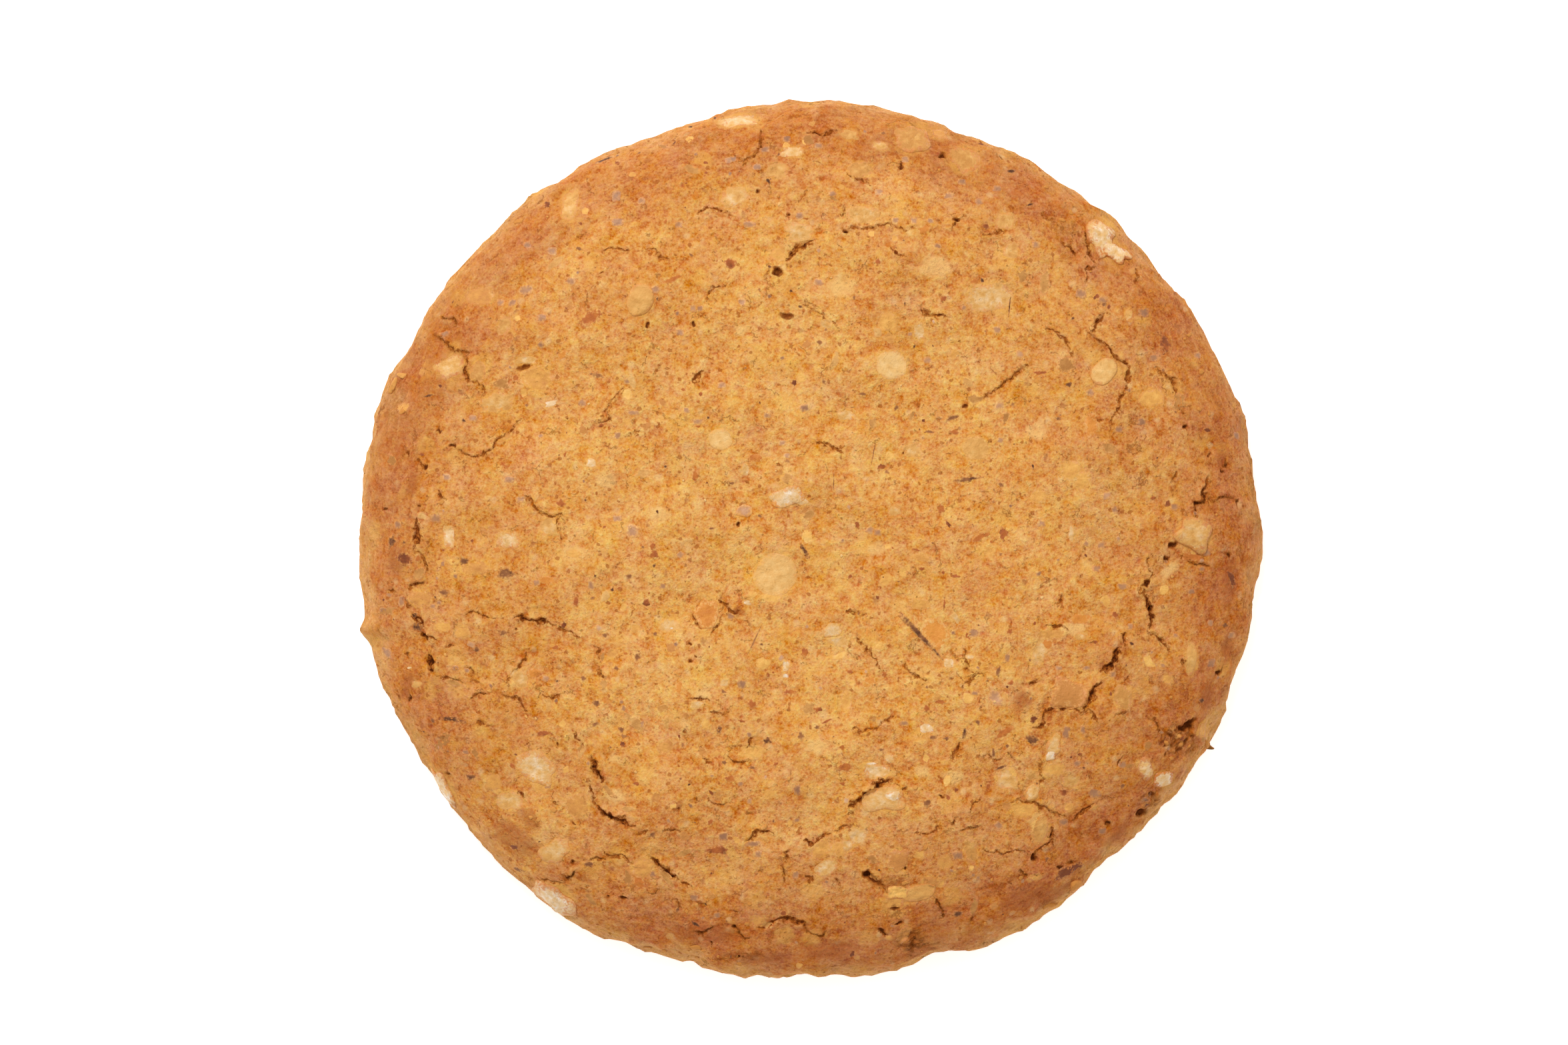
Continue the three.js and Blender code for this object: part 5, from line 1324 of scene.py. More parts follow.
    def set_in(self, crust: BVHTree, bit: Bit, shaped: Array) -> Array | None:
        """Lay a shaped bit on the crust, following it.

        Args:
            crust: The crust's surface.
            bit: The bit.
            shaped: Its vertices in its own plane.

        Returns:
            Its vertices in mm, or None where the crust isn't under it.
        """
        up = Vector((0, 0, 1))
        middle, normal, _, _ = crust.ray_cast(Vector((bit.x, bit.y, self.sky_height)), -up)
        if middle is None:
            away = Vector((bit.x, bit.y, 0)).normalized()
            outside = Vector((bit.x, bit.y, self.side_height)) + away * self.side_search
            middle, normal, _, _ = crust.ray_cast(outside, -away)
        if middle is None:
            return None
        blunt = (normal + self.uprightness * up).normalized()
        turn = math.radians(bit.turn)
        heading = Vector((math.cos(turn), math.sin(turn), 0))
        along = (heading - blunt * blunt.dot(heading)).normalized()
        across = blunt.cross(along)
        uneven = grain(shaped[:, :2] + (bit.x, bit.y), self.roughness_size, self.seed)
        placed = np.empty_like(shaped)
        sink, sink_share = self.overhang_sink
        for row, (a, b, height) in enumerate(shaped):
            start = middle + along * a + across * b
            under, _, _, _ = crust.ray_cast(start + blunt * self.above, -blunt, self.below)
            if under is None:
                under = start - blunt * (sink + sink_share * abs(height))
            placed[row] = under + blunt * (height * (1 + self.roughness * uneven[row]))
        return placed


# --------------------------------------------------------------------------------- finishes


# What the nodes that are used most often are set to.
MULTIPLY_ADD = {"operation": "MULTIPLY_ADD"}
MULTIPLY = {"operation": "MULTIPLY"}
SUBTRACT = {"operation": "SUBTRACT"}
SMOOTH = {"interpolation_type": "SMOOTHSTEP"}
# Sockets of the node that mixes two colours.
MIX_COLOURS = {"data_type": "RGBA"}
FACTOR, UNDER, OVER, MIXED = 0, 6, 7, 2
# Outputs that aren't the first: a number attribute's, a texture's colour, object coordinates.
NUMBER, COLOUR, OBJECT = 2, 1, 3


def hex_colour(code: str) -> tuple[float, float, float, float]:
    """Turn an sRGB hex colour into the linear colour that Blender's nodes take.

    Args:
        code: Six hexadecimal digits.

    Returns:
        Red, green, blue and alpha, linear.
    """
    channels = [int(code[i : i + 2], 16) / 255 for i in (0, 2, 4)]
    linear = [c / 12.92 if c <= 0.04045 else ((c + 0.055) / 1.055) ** 2.4 for c in channels]
    return (*linear, 1.0)


def add_node(
    tree: Tree, kind: str, settings: dict | None = None, links: dict | None = None, output: int = 0
) -> Socket | None:
    """Add a node with its settings and what goes into it.

    Args:
        tree: The material's node tree.
        kind: The shader node's type name, without its first word.
        settings: Values of its properties; "stops" are (place, hex colour) pairs of a ramp.
        links: What each input takes: another node's output, or a value.
        output: Which of its outputs is wanted.

    Returns:
        That output.
    """
    node = tree.nodes.new(f"ShaderNode{kind}")
    for name, value in (settings or {}).items():
        if name == "stops":
            ramp = node.color_ramp
            while len(ramp.elements) < len(value):
                ramp.elements.new(0.5)
            for element, (place, code) in zip(ramp.elements, value):
                element.position = place
                element.color = hex_colour(code)
        else:
            setattr(node, name, value)
    for name, value in (links or {}).items():
        if isinstance(value, Socket):
            tree.links.new(value, node.inputs[name])
        else:
            node.inputs[name].default_value = value
    return node.outputs[output] if node.outputs else None


def scale(size: float) -> float:
    """Return the scale of a texture whose pattern has a size in mm."""
    return 1 / (size * MM)


def pile_up(tree: Tree, place: Socket, waves: tuple[Wave, ...], base: Socket) -> Socket:
    """Add noise of several sizes to a number. Tone and relief share it, so that what stands high is painted
    lighter and what lies low is painted darker: painted light and painted shade.

    Args:
        tree: The material's node tree.
        place: Object coordinates.
        waves: How large each noise is in mm, and how much it adds.
        base: The number.

    Returns:
        The sum.
    """
    for size, weight in waves:
        pattern = {"Vector": place, "Scale": scale(size), "Detail": 4.0, "Roughness": 0.65}
        swell = add_node(tree, "TexNoise", None, pattern)
        base = add_node(tree, "Math", MULTIPLY_ADD, {0: swell, 1: weight, 2: base})
    return base


def lay_over(tree: Tree, colour: Socket, cover: Socket, rise: Rise, code: str) -> Socket:
    """Lay one colour over another where a number says so.

    Args:
        tree: The material's node tree.
        colour: The colour under it.
        cover: The number.
        rise: From which number to which the new colour sets in, and how strong it gets.
        code: The new colour.

    Returns:
        The two together.
    """
    span = {1: rise.low, 2: rise.high, 3: 0.0, 4: rise.strength}
    amount = add_node(tree, "MapRange", SMOOTH, {0: cover} | span)
    mixed = {FACTOR: amount, UNDER: colour, OVER: hex_colour(code)}
    return add_node(tree, "Mix", MIX_COLOURS, mixed, MIXED)


class Wash(NamedTuple):
    """A soft layer of colour on the crust: the stored number that says where, its colour, how
    strong it gets, how uneven its edge is, and whether that is in coarse patches or fine ones."""

    name: str
    colour: str
    strength: float
    uneven: float
    coarse: bool = True


class Speck(NamedTuple):
    """One kind of fleck that the meal is full of: its cell and size in mm, how many cells have
    one, how soft its edge is, how strongly it shows and its colour."""

    cell: float
    size: float
    share: float
    softness: float
    strength: float
    colour: str


@dataclass(frozen=True)
class Crumb:
    """The browns of baked wholegrain crumb, where each part of it lies by how baked it is."""

    golden: Stops = ((0.0, "9a420c"), (0.31, "cb7128"), (0.49, "e4a155"), (0.7, "f0c06e"), (1.0, "fadf9c"))
    brown: Stops = ((0.0, "783112"), (0.31, "a34e1d"), (0.49, "c6773c"), (0.7, "d89353"), (1.0, "efba73"))
    pale_side: Stops = ((0.0, "9c5a2a"), (0.3, "ca8849"), (0.6, "dfa261"), (1.0, "f4cb90"))
    # Below 6 mm these match the bump's swells, so this tone is partly the meal's own and partly painted light
    # on the bumps and painted shade in the dips.
    grains: tuple[Wave, ...] = (Wave(6.0, 0.24), Wave(1.2, 0.22), Wave(0.5, 0.36), Wave(0.2, 0.68))
    hues: tuple = ((2.4, 0.02, 0.22), (0.4, 0.03, 0.22))  # size in mm, turn and swing of saturation
    hue_shift: tuple[float, float, float] = (0.05, 0.031, 0.017)
    # How much lighter the crumb is painted where the mesh relief rose, and darker where it sank: painted
    # light and painted shade.
    painted_relief_shade_gain: float = 2.0
    specks: tuple[Speck, ...] = (
        Speck(2.2, 1.6, 0.2, 0.3, 0.35, "efb85c"),
        Speck(1.7, 0.8, 0.14, 0.25, 0.4, "c86a20"),
        Speck(1.5, 0.4, 0.2, 0.16, 0.5, "a8683e"),
        Speck(0.8, 0.26, 0.4, 0.1, 0.65, "a4561e"),
        Speck(0.5, 0.2, 0.22, 0.12, 0.45, "ac561c"),
        Speck(1.1, 0.45, 0.14, 0.3, 0.35, "f2cf94"),
    )
    speck_ragged: float = 0.7
    speck_fray: float = 0.4
    speck_step: float = 0.011  # metres from the cells of one kind of fleck to the next kind's
    speck_shift: tuple[float, float] = (0.007, 0.003)
    # Colour of the hairline cracks: painted shade in them.
    hairline: str = "a4561a"
    hairline_mesh: float = 3.4
    hairline_wander: float = 1.3
    hairline_bend: float = 0.5
    hairline_edges: tuple[float, float] = (0.002, 0.016)
    hairline_strength: float = 0.6
    hairline_zones: tuple[float, float, float] = (1.3, 0.54, 0.62)  # their size, and where lines set in
    # Colour of the pores: painted shade in them.
    pore: str = "a65c1c"
    pore_size: float = 0.36
    pore_edges: tuple[float, float] = (0.27, 0.36)
    pore_strength: float = 0.55
    pore_depth: float = 0.05
    swells: tuple[Wave, ...] = (Wave(0.2, 0.11), Wave(0.5, 0.13), Wave(1.2, 0.26))

    def colour(self, tree: Tree, place: Socket) -> Socket:
        """Add the colour of plain crumb, by how brown it is and whether it is on the side, painted lighter
        where its relief stands high and darker in its dips as painted light and painted shade.

        Args:
            tree: The material's node tree.
            place: Object coordinates.

        Returns:
            The colour.
        """
        raised, baked, side = (
            add_node(tree, "Attribute", {"attribute_name": name}, output=NUMBER)
            for name in ("raised", "browning", "side")
        )
        middle = 0.5 - sum(grains.height for grains in self.grains) / 2
        # Painted light where the mesh relief rose, painted shade where it sank.
        base = add_node(tree, "Math", MULTIPLY_ADD, {0: raised, 1: self.painted_relief_shade_gain, 2: middle})
        tone = pile_up(tree, place, self.grains, base)
        golden, brown, pale = (
            add_node(tree, "ValToRGB", {"stops": stops}, {"Fac": tone})
            for stops in (self.golden, self.brown, self.pale_side)
        )
        # The brown crumb comes in where the crust is painted browner, which is partly painted shade.
        top = add_node(tree, "Mix", MIX_COLOURS, {FACTOR: baked, UNDER: golden, OVER: brown}, MIXED)
        plain = add_node(tree, "Mix", MIX_COLOURS, {FACTOR: side, UNDER: top, OVER: pale}, MIXED)
        hue = 0.5 - sum(turn for _, turn, _ in self.hues) / 2
        saturation = 1 - sum(swing for _, _, swing in self.hues) / 2
        apart = add_node(tree, "Mapping", None, {"Vector": place, "Location": self.hue_shift})
        for size, turn, swing in self.hues:
            pattern = {"Vector": apart, "Scale": scale(size), "Detail": 3.5, "Roughness": 0.65}
            draws = add_node(tree, "TexNoise", None, pattern, COLOUR)
            first = add_node(tree, "SeparateColor", None, {0: draws})
            second = first.node.outputs[1]
            hue = add_node(tree, "Math", MULTIPLY_ADD, {0: first, 1: turn, 2: hue})
            saturation = add_node(tree, "Math", MULTIPLY_ADD, {0: second, 1: swing, 2: saturation})
        return add_node(tree, "HueSaturation", None, {"Hue": hue, "Saturation": saturation, "Color": plain})

    def gaps(self, tree: Tree, place: Socket) -> tuple[Socket, Socket]:
        """Add the crumb's pores, a few tenths of a millimetre across, and its broken hairline
        cracks, about a millimetre long. Real ones are finer: these are as coarse as shows.

        Args:
            tree: The material's node tree.
            place: Object coordinates.

        Returns:
            Where the pores are and where the hairlines are, each from 0 to 1.
        """
        low, high = self.pore_edges
        pattern = {"Vector": place, "Scale": scale(self.pore_size), "Detail": 3.0, "Roughness": 0.6}
        swell = add_node(tree, "TexNoise", None, pattern)
        pores = add_node(tree, "MapRange", SMOOTH, {0: swell, 1: low, 2: high, 3: 1.0, 4: 0.0})
        pattern = {"Vector": place, "Scale": scale(self.hairline_bend), "Detail": 4.0, "Roughness": 0.7}
        shake = add_node(tree, "TexNoise", None, pattern, COLOUR)
        centred = add_node(tree, "VectorMath", SUBTRACT, {0: shake, 1: (0.5, 0.5, 0.5)})
        wander = {0: centred, "Scale": self.hairline_wander * MM}
        away = add_node(tree, "VectorMath", {"operation": "SCALE"}, wander)
        moved = add_node(tree, "VectorMath", None, {0: place, 1: away})
        pattern = {"Vector": moved, "Scale": scale(self.hairline_mesh)}
        edge = add_node(tree, "TexVoronoi", {"feature": "DISTANCE_TO_EDGE"}, pattern)
        low, high = self.hairline_edges
        line = add_node(tree, "MapRange", None, {0: edge, 1: low, 2: high, 3: self.hairline_strength, 4: 0.0})
        size, low, high = self.hairline_zones
        pattern = {"Vector": place, "Scale": scale(size), "Detail": 3.0, "Roughness": 0.6}
        zone = add_node(tree, "TexNoise", None, pattern)
        broken = add_node(tree, "MapRange", SMOOTH, {0: zone, 1: low, 2: high})
        return pores, add_node(tree, "Math", MULTIPLY, {0: line, 1: broken})

    def flecked(self, tree: Tree, place: Socket, gaps: tuple[Socket, Socket]) -> Socket:
        """Add the crumb's colour with its flecks, pores and hairline cracks; the pores and hairlines are
        painted darker, as painted shade.

        Args:
            tree: The material's node tree.
            place: Object coordinates.
            gaps: Where its pores and hairlines are.

        Returns:
            The colour.
        """
        colour = self.colour(tree, place)
        warp = add_node(tree, "TexNoise", None, {"Vector": place, "Scale": scale(self.speck_fray)})
        for number, speck in enumerate(self.specks):
            shift = (self.speck_step * number, *self.speck_shift)
            moved = add_node(tree, "Mapping", None, {"Vector": place, "Location": shift})
            cells = add_node(tree, "TexVoronoi", None, {"Vector": moved, "Scale": scale(speck.cell)})
            chance = add_node(tree, "SeparateColor", None, {0: cells.node.outputs[COLOUR]})
            present = add_node(tree, "Math", {"operation": "LESS_THAN"}, {0: chance, 1: speck.share})
            ragged = add_node(tree, "Math", MULTIPLY_ADD, {0: warp, 1: self.speck_ragged, 2: cells})
            rim = 0.5 * speck.size / speck.cell + self.speck_ragged / 2
            fade = {1: rim - speck.softness / 2, 2: rim + speck.softness / 2, 3: speck.strength, 4: 0.0}
            cover = add_node(tree, "MapRange", SMOOTH, {0: ragged} | fade)
            shown = add_node(tree, "Math", MULTIPLY, {0: cover, 1: present})
            mixed = {FACTOR: shown, UNDER: colour, OVER: hex_colour(speck.colour)}
            colour = add_node(tree, "Mix", MIX_COLOURS, mixed, MIXED)
        pores, lines = gaps
        sunk = add_node(tree, "Math", MULTIPLY, {0: pores, 1: self.pore_strength})
        for cover, code in ((sunk, self.pore), (lines, self.hairline)):
            mixed = {FACTOR: cover, UNDER: colour, OVER: hex_colour(code)}
            colour = add_node(tree, "Mix", MIX_COLOURS, mixed, MIXED)
        return colour

    def relief(self, tree: Tree, place: Socket, gaps: tuple[Socket, Socket]) -> Socket:
        """Add the height of the meal's grains, in mm, as a bump. Real grains of 0.05 mm and less are
        left out: they are too fine to see.

        Args:
            tree: The material's node tree.
            place: Object coordinates.
            gaps: Where its pores and hairlines are.

        Returns:
            The height.
        """
        sunk = add_node(tree, "Math", None, dict(enumerate(gaps)))
        height = add_node(tree, "Math", MULTIPLY, {0: sunk, 1: -self.pore_depth})
        return pile_up(tree, place, self.swells, height)


@dataclass(frozen=True)
class Finish:
    """What all finishes of the cookie share: the crumb in them, how rough and how glossy they are."""

    name: str
    roughness: float = 0.6
    specular: float = 0.25
    crumb: Crumb = Crumb()

    def material(self) -> bpy.types.Material:
        """Make the material from the finish's colour and height.

        Returns:
            The material.
        """
        material = bpy.data.materials.new(self.name)
        material.use_nodes = True
        tree = material.node_tree
        tree.nodes.clear()
        place = add_node(tree, "TexCoord", output=OBJECT)
        colour, height = self.surface(tree, place)
        normal = add_node(tree, "Bump", None, {"Strength": 1.0, "Distance": MM, "Height": height})
        look = {"Base Color": colour, "Normal": normal}
        gloss = {"Roughness": self.roughness, "Specular IOR Level": self.specular}
        shader = add_node(tree, "BsdfPrincipled", None, look | gloss)
        add_node(tree, "OutputMaterial", None, {"Surface": shader})
        return material

    def surface(self, tree: Tree, place: Socket) -> tuple[Socket, Socket]:
        """Add the colour and the height in mm, which each kind of finish makes its own way."""
        raise NotImplementedError


@dataclass(frozen=True)
class BakedCrust(Finish):
    """Baked wholegrain dough. Oven-dried and matt, with a fine meal grain that catches the light like felt,
    darker in its cracks, hollows and pores, partly as painted shade, and golden brown where it was toasted."""

    name: str = "baked wholegrain dough"
    roughness: float = 0.8
    specular: float = 0.08
    fine: float = 0.22  # size of the noise that frays edges finely, in mm
    coarse: float = 0.6
    fray: tuple[Wave, ...] = (Wave(0.4, 0.15), Wave(0.17, 0.14))
    mouth_fray: Wave = Wave(0.3, 0.36)
    crack_step: float = 0.1
    hollow_fray: float = 0.5
    step_edges: tuple[float, float] = (-0.03, 0.1)
    washes: tuple[Wash, ...] = (
        Wash("pale", "f2c27a", 0.62, 0.9),
        Wash("by_chip", "eeb459", 0.5, 0.9),
        # This wash also lays on the rim's extra darkening, which is partly painted shade.
        Wash("toasted", "a8592c", 0.62, 0.8),
        Wash("crumbled", "a05a18", 0.5, 2.4, coarse=False),
    )
    wash_edge: tuple[float, float] = (0.3, 1.1)
    # From the browned edge of a crack to its floor, by how far inside it, in mm. The two darkest steps,
    # toward the floor, are partly the crumb's browner inside and partly painted shade.
    crack_colours: tuple = (
        (Rise(-0.12, 0.02, 0.3), "b8681f"),
        (Rise(-0.01, 0.04, 0.8), "ac5c18"),
        (Rise(0.05, 0.14, 0.85), "7a360a"),
        (Rise(0.12, 0.2, 0.8), "3a1604"),
    )
    # The hollow's deepest colour is partly a burnt crust and partly painted shade in the pit.
    hollow_colours: tuple = ((Rise(0.5, 1.0, 0.8), "a05416"), (Rise(0.95, 1.3, 0.85), "5c2406"))

    def surface(self, tree: Tree, place: Socket) -> tuple[Socket, Socket]:
        """Add the crust's colour and height.

        Args:
            tree: The material's node tree.
            place: Object coordinates.

        Returns:
            The colour, and the height in mm.
        """
        fine = add_node(tree, "TexNoise", None, {"Vector": place, "Scale": scale(self.fine)})
        pattern = {"Vector": place, "Scale": scale(self.coarse), "Detail": 3.0}
        coarse = add_node(tree, "TexNoise", None, pattern)
        gaps = self.crumb.gaps(tree, place)
        colour = self.crumb.flecked(tree, place, gaps)
        low, high = self.wash_edge
        for wash in self.washes:
            cover = add_node(tree, "Attribute", {"attribute_name": wash.name}, output=NUMBER)
            swell = coarse if wash.coarse else fine
            ragged = add_node(tree, "Math", MULTIPLY_ADD, {0: swell, 1: wash.uneven, 2: cover})
            rise = Rise(low + wash.uneven / 2, high + wash.uneven / 2, wash.strength)
            colour = lay_over(tree, colour, ragged, rise, wash.colour)
        gap = self.crack_gap(tree, place)
        hollow = add_node(tree, "Attribute", {"attribute_name": "hollow"}, output=NUMBER)
        holed = add_node(tree, "Math", MULTIPLY_ADD, {0: fine, 1: self.hollow_fray, 2: hollow})
        for cover, steps in ((gap, self.crack_colours), (holed, self.hollow_colours)):
            for rise, code in steps:
                colour = lay_over(tree, colour, cover, rise, code)
        low, high = self.step_edges
        step = add_node(tree, "MapRange", None, {0: gap, 1: low, 2: high, 3: 0.0, 4: -self.crack_step})
        return colour, add_node(tree, "Math", None, {0: step, 1: self.crumb.relief(tree, place, gaps)})

    def crack_gap(self, tree: Tree, place: Socket) -> Socket:
        """Add how far inside a crack's ragged mouth each point is, in mm, negative outside.

        Args:
            tree: The material's node tree.
            place: Object coordinates.

        Returns:
            The distance.
        """
        across, mouth = (
            add_node(tree, "Attribute", {"attribute_name": name}, output=NUMBER)
            for name in ("across crack", "crack mouth")
        )
        for size, swing in self.fray:
            crumbs = add_node(tree, "TexVoronoi", None, {"Vector": place, "Scale": scale(size)}, COLOUR)
            drawn = add_node(tree, "SeparateColor", None, {0: crumbs})
            centred = add_node(tree, "Math", SUBTRACT, {0: drawn, 1: 0.5})
            across = add_node(tree, "Math", MULTIPLY_ADD, {0: centred, 1: swing, 2: across})
        size, swing = self.mouth_fray
        wide = add_node(tree, "TexNoise", None, {"Vector": place, "Scale": scale(size)})
        uneven = add_node(tree, "Math", MULTIPLY_ADD, {0: wide, 1: swing, 2: -swing / 2})
        open_to = add_node(tree, "Math", None, {0: mouth, 1: uneven})
        away = add_node(tree, "Math", {"operation": "ABSOLUTE"}, {0: across})
        return add_node(tree, "Math", SUBTRACT, {0: open_to, 1: away})


@dataclass(frozen=True)
class BitFinish(Finish):
    """A bit baked into the crust: mottled, with crumb clinging round its rim."""

    tones: Stops = ()
    mottle: float = 0.5
    cling: float = 0.72
    eaten: float = 1.0
    fray: float = 1.1
    softness: float = 0.4
    # How much darker a bit is where the crust is painted browner, which carries the crust's painted shade
    # onto the bits too.
    browned: float = 0.3
    grit: float = 0.6
    blotches: float = 0.55  # size of the noise that mottles it, in mm
    fine: float = 0.2

    def surface(self, tree: Tree, place: Socket) -> tuple[Socket, Socket]:
        """Add the bit's colour and height.

        Args:
            tree: The material's node tree.
            place: Object coordinates.

        Returns:
            The colour, and the height in mm.
        """
        pattern = {"Vector": place, "Scale": scale(self.blotches), "Detail": 3.0}
        blotch = add_node(tree, "TexNoise", None, pattern)
        fine = add_node(tree, "TexNoise", None, {"Vector": place, "Scale": scale(self.fine)})
        own, rim, baked = (
            add_node(tree, "Attribute", {"attribute_name": name}, output=NUMBER)
            for name in ("tone", "rim", "browning")
        )
        centred = add_node(tree, "Math", SUBTRACT, {0: blotch, 1: 0.5})
        mottled = add_node(tree, "Math", MULTIPLY_ADD, {0: centred, 1: self.mottle * 2, 2: own})
        tone = add_node(tree, "Math", MULTIPLY_ADD, {0: baked, 1: -self.browned, 2: mottled})
        colour = add_node(tree, "ValToRGB", {"stops": self.tones}, {"Fac": tone})
        eaten = add_node(tree, "Math", MULTIPLY_ADD, {0: blotch, 1: self.eaten, 2: rim})
        frayed = add_node(tree, "Math", MULTIPLY_ADD, {0: fine, 1: self.fray, 2: eaten})
        edge = self.cling + (self.eaten + self.fray) / 2
        span = {1: edge - 0.3 * self.softness, 2: edge + 0.7 * self.softness}
        clinging = add_node(tree, "MapRange", SMOOTH, {0: frayed} | span)
        mixed = {FACTOR: clinging, UNDER: colour, OVER: self.crumb.colour(tree, place)}
        grains = self.crumb.relief(tree, place, self.crumb.gaps(tree, place))
        height = add_node(tree, "Math", MULTIPLY, {0: grains, 1: self.grit})
        return add_node(tree, "Mix", MIX_COLOURS, mixed, MIXED), height


# Blanched nut: waxy and close-grained, cream where it is cut and tan where it was toasted.
BLANCHED_NUT = BitFinish(
    "blanched nut",
    tones=((0.0, "c98a42"), (0.3, "dba256"), (0.5, "e2b272"), (0.75, "ebc798"), (1.0, "f8e8d4")),
    mottle=0.7, eaten=1.4, browned=0.14, roughness=0.5,
)  # fmt: skip
# Whole nut halves: the same, but smooth and clean-edged, because nothing broke them.
WHOLE_NUT = BitFinish(
    "blanched whole nut",
    tones=((0.0, "c98a42"), (0.3, "dda356"), (0.55, "eab870"), (1.0, "f6d49a")),
    mottle=0.35, cling=0.82, eaten=0.7, fray=0.8, browned=0.14, roughness=0.5,
)  # fmt: skip
# Roasted nut: oily and yellow gold, close in tone to the crumb round it.
ROASTED_NUT = BitFinish(
    "roasted nut",
    tones=((0.0, "c98440"), (0.4, "e0a04c"), (0.7, "edb45c"), (1.0, "f3c474")),
    roughness=0.5,
)
# Caramelised nut: orange and a little glossy, where its own sugar has browned.
CARAMELISED_NUT = BitFinish(
    "caramelised nut",
    tones=((0.0, "c26e28"), (0.5, "d98935"), (1.0, "e89f44")),
    roughness=0.45,
)
# Rolled oat: floury and grey-gold, flat, with torn edges.
ROLLED_OAT = BitFinish(
    "rolled oat",
    tones=((0.0, "b27638"), (0.4, "d0954f"), (0.7, "e1ad66"), (1.0, "efc78a")),
    cling=0.7,
)
# Raw cane sugar: clear mauve-brown grains that melted a little and shine.
RAW_SUGAR = BitFinish(
    "raw cane sugar",
    tones=((0.0, "986848"), (0.4, "b47f56"), (0.7, "ca956c"), (1.0, "e0b894")),
    mottle=0.4, cling=0.55, eaten=0.6, softness=0.9, roughness=0.4, specular=0.3, grit=0.3,
)  # fmt: skip
# Wheat bran: papery, matt and purple-brown.
WHEAT_BRAN = BitFinish(
    "wheat bran",
    tones=((0.0, "5c341c"), (0.3, "8c5630"), (0.6, "aa6e3e"), (1.0, "c0844a")),
    cling=0.6, eaten=0.6, softness=0.8, roughness=0.7,
)  # fmt: skip
# Nut skin: thin, red-brown and dry.
NUT_SKIN = BitFinish(
    "nut skin",
    tones=((0.0, "7c3e1c"), (0.3, "ae5c28"), (0.6, "c26e2a"), (1.0, "d28234")),
    cling=0.75, eaten=0.6, softness=0.6,
)  # fmt: skip
# Loose crumb: dry, pale gold where it rubbed off the crust.
LOOSE_CRUMB = BitFinish(
    "loose crumb",
    tones=((0.0, "cb853a"), (0.5, "dfa052"), (1.0, "f0c684")),
    cling=1.3, browned=0.6, roughness=0.85, specular=0.3,
)  # fmt: skip


# ------------------------------------------------------------------------------- the studio


@dataclass
class Studio:
    """A white table in soft light from the back left, and a camera straight above, in mm."""

    field_width: float = 125.1  # of the widest line's plane that the picture spans
    frame_middle: tuple[float, float] = (-2.05, 1.28)  # under the middle of the picture
    widest_height: float = 1.7
    camera_distance: float = 2000.0
    sensor_width: float = 36.0
    sight: float = 10000.0
    table_width: float = 4000.0
    table_gap: float = 0.05
    table_roughness: float = 0.9
    table_glow: float = 0.6
    sky: float = 0.6
    key_place: tuple[float, float, float] = (-240.0, 600.0, 830.0)
    key_width: float = 320.0
    key_power: float = 6.95

    def build(self) -> None:
        """Set out the table, the lights and the camera."""
        self.table()
        self.sky_light()
        self.key_light()
        self.camera()

    def table(self) -> None:
        """Lay the white table top, which glows enough to hide most of the shadow."""
        bpy.ops.object.select_all(action="DESELECT")
        bpy.ops.mesh.primitive_plane_add(size=self.table_width * MM, location=(0, 0, -self.table_gap * MM))
        table = bpy.context.active_object
        table.name = "white_table"
        material = bpy.data.materials.new("white sheet")
        material.use_nodes = True
        sockets = material.node_tree.nodes["Principled BSDF"].inputs
        sockets["Base Color"].default_value = hex_colour("f4f4f4")
        sockets["Roughness"].default_value = self.table_roughness
        sockets["Emission Color"].default_value = hex_colour("ffffff")
        sockets["Emission Strength"].default_value = self.table_glow
        table.data.materials.append(material)

    def sky_light(self) -> None:
        """Light the table evenly from a white room."""
        world = bpy.data.worlds.new("white room")
        world.use_nodes = True
        background = world.node_tree.nodes["Background"]
        background.inputs["Color"].default_value = hex_colour("ffffff")
        background.inputs["Strength"].default_value = self.sky
        bpy.context.scene.world = world

    def key_light(self) -> None:
        """Hang one soft lamp, which gives the relief its shadows."""
        place = Vector(self.key_place) * MM
        lamp = bpy.data.lights.new("soft key", "AREA")
        lamp.size = self.key_width * MM
        lamp.energy = self.key_power
        key = bpy.data.objects.new("soft key", lamp)
        key.location = place
        key.rotation_euler = (-place).to_track_quat("-Z", "Y").to_euler()
        bpy.context.collection.objects.link(key)

    def camera(self) -> None:
        """Hang the camera straight above, looking down, with the back of the table upwards."""
        lens = bpy.data.cameras.new("overhead")
        lens.sensor_fit = "HORIZONTAL"
        lens.sensor_width = self.sensor_width
        lens.lens = self.sensor_width * self.camera_distance / self.field_width
        lens.clip_end = self.sight * MM
        camera = bpy.data.objects.new("overhead", lens)
        camera.location = Vector((*self.frame_middle, self.widest_height + self.camera_distance)) * MM
        bpy.context.collection.objects.link(camera)
        bpy.context.scene.camera = camera
        bpy.context.scene.view_settings.view_transform = "Standard"


# ------------------------------------------------------------------------------ the cookie


CHOPPED, SPLINTER = Outline.CHOPPED, Outline.SPLINTER
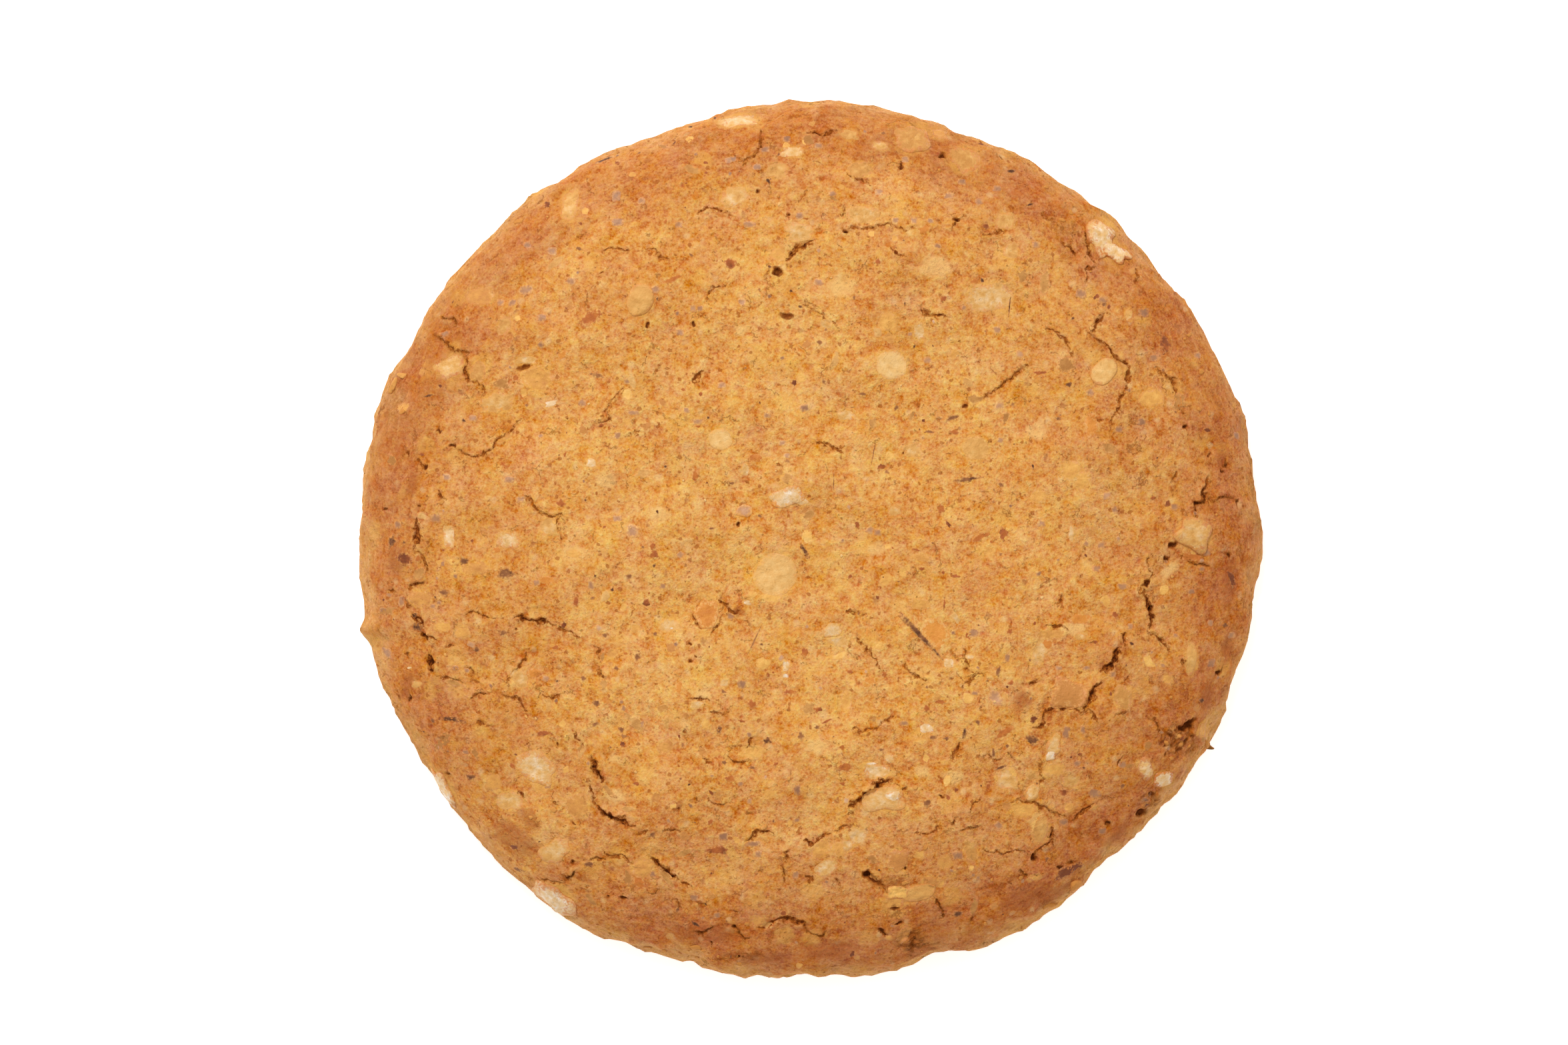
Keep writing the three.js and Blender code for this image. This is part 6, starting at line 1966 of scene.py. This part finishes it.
# Every kind of bit, and what it is made of.
INLAYS = (
    (Inlay("nut_chips", CREAM_CHIPS, CHOPPED, rise=0.02, sink=0.03, detail=4, seed=11), BLANCHED_NUT),
    (Inlay("golden_chips", GOLDEN_CHIPS, CHOPPED, rise=0.015, sink=0.03, detail=4, seed=21), ROASTED_NUT),
    (Inlay("round_chips", ROUND_CHIPS, Outline.ROUNDED, rise=0.025, sink=0.03, detail=4, seed=25), WHOLE_NUT),
    (Inlay("orange_chips", ORANGE_CHIPS, CHOPPED, rise=0.02, sink=0.03, detail=4, seed=31), CARAMELISED_NUT),
    (Inlay("small_golden_bits", (), CHOPPED, rise=0.01, sink=0.02, detail=3, seed=41,
           scatter=Scatter(90, 0.5, 1.1)), ROASTED_NUT),
    (Inlay("oat_flakes", OAT_FLAKES, SPLINTER, rise=0.02, sink=0.02, detail=3, seed=51,
           scatter=Scatter(26, 0.8, 1.6, slimness=0.35)), ROLLED_OAT),
    (Inlay("sugar_grains", SUGAR_GRAINS, Outline.BLOCKY, rise=0.015, sink=0.01, detail=3, seed=61,
           scatter=Scatter(80, 0.25, 0.6)), RAW_SUGAR),
    (Inlay("bran", BRAN_FLAKES, SPLINTER, rise=0.01, sink=0.008, detail=3, seed=71,
           scatter=Scatter(130, 0.15, 0.45, slimness=0.5)), WHEAT_BRAN),
    (Inlay("nut_skins", SKIN_FLAKES, SPLINTER, rise=0.012, sink=0.01, detail=3, seed=81,
           scatter=Scatter(110, 0.2, 0.6, slimness=0.5)), NUT_SKIN),
    (Inlay("crumbs", PALE_CRUMBS, SPLINTER, rise=0.07, sink=0.0, detail=2, seed=91,
           scatter=Scatter(260, 0.12, 0.32), roughness=0.7), LOOSE_CRUMB),
)  # fmt: skip


@dataclass
class Cookie:
    """The whole cookie: its crust and what is baked into it."""

    dough: Dough = field(default_factory=Dough)
    cracks: CrackField = field(default_factory=CrackField)
    finish: BakedCrust = BakedCrust()

    def dress(self, piece: bpy.types.Object, finish: Finish) -> None:
        """Give a piece its finish, fix it to the frame and report it.

        Args:
            piece: The piece.
            finish: Its finish.
        """
        piece.data.materials.append(finish.material())
        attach(piece, "root")
        LOG.info("%s: %d faces", piece.name, len(piece.data.polygons))

    def build(self) -> None:
        """Model and dress every piece."""
        crust = Crust(self.dough, self.cracks)
        body = crust.build()
        self.dress(body, self.finish)
        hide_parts("cookie")
        surface = crust.surface()
        for inlay, finish in INLAYS:
            self.dress(inlay.build(surface, self.dough), finish)


def main() -> None:
    """Build the cookie and the studio round it."""
    logging.basicConfig(level=logging.INFO, format="%(name)s: %(message)s")
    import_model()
    Cookie().build()
    Studio().build()


if __name__ == "__main__":
    main()
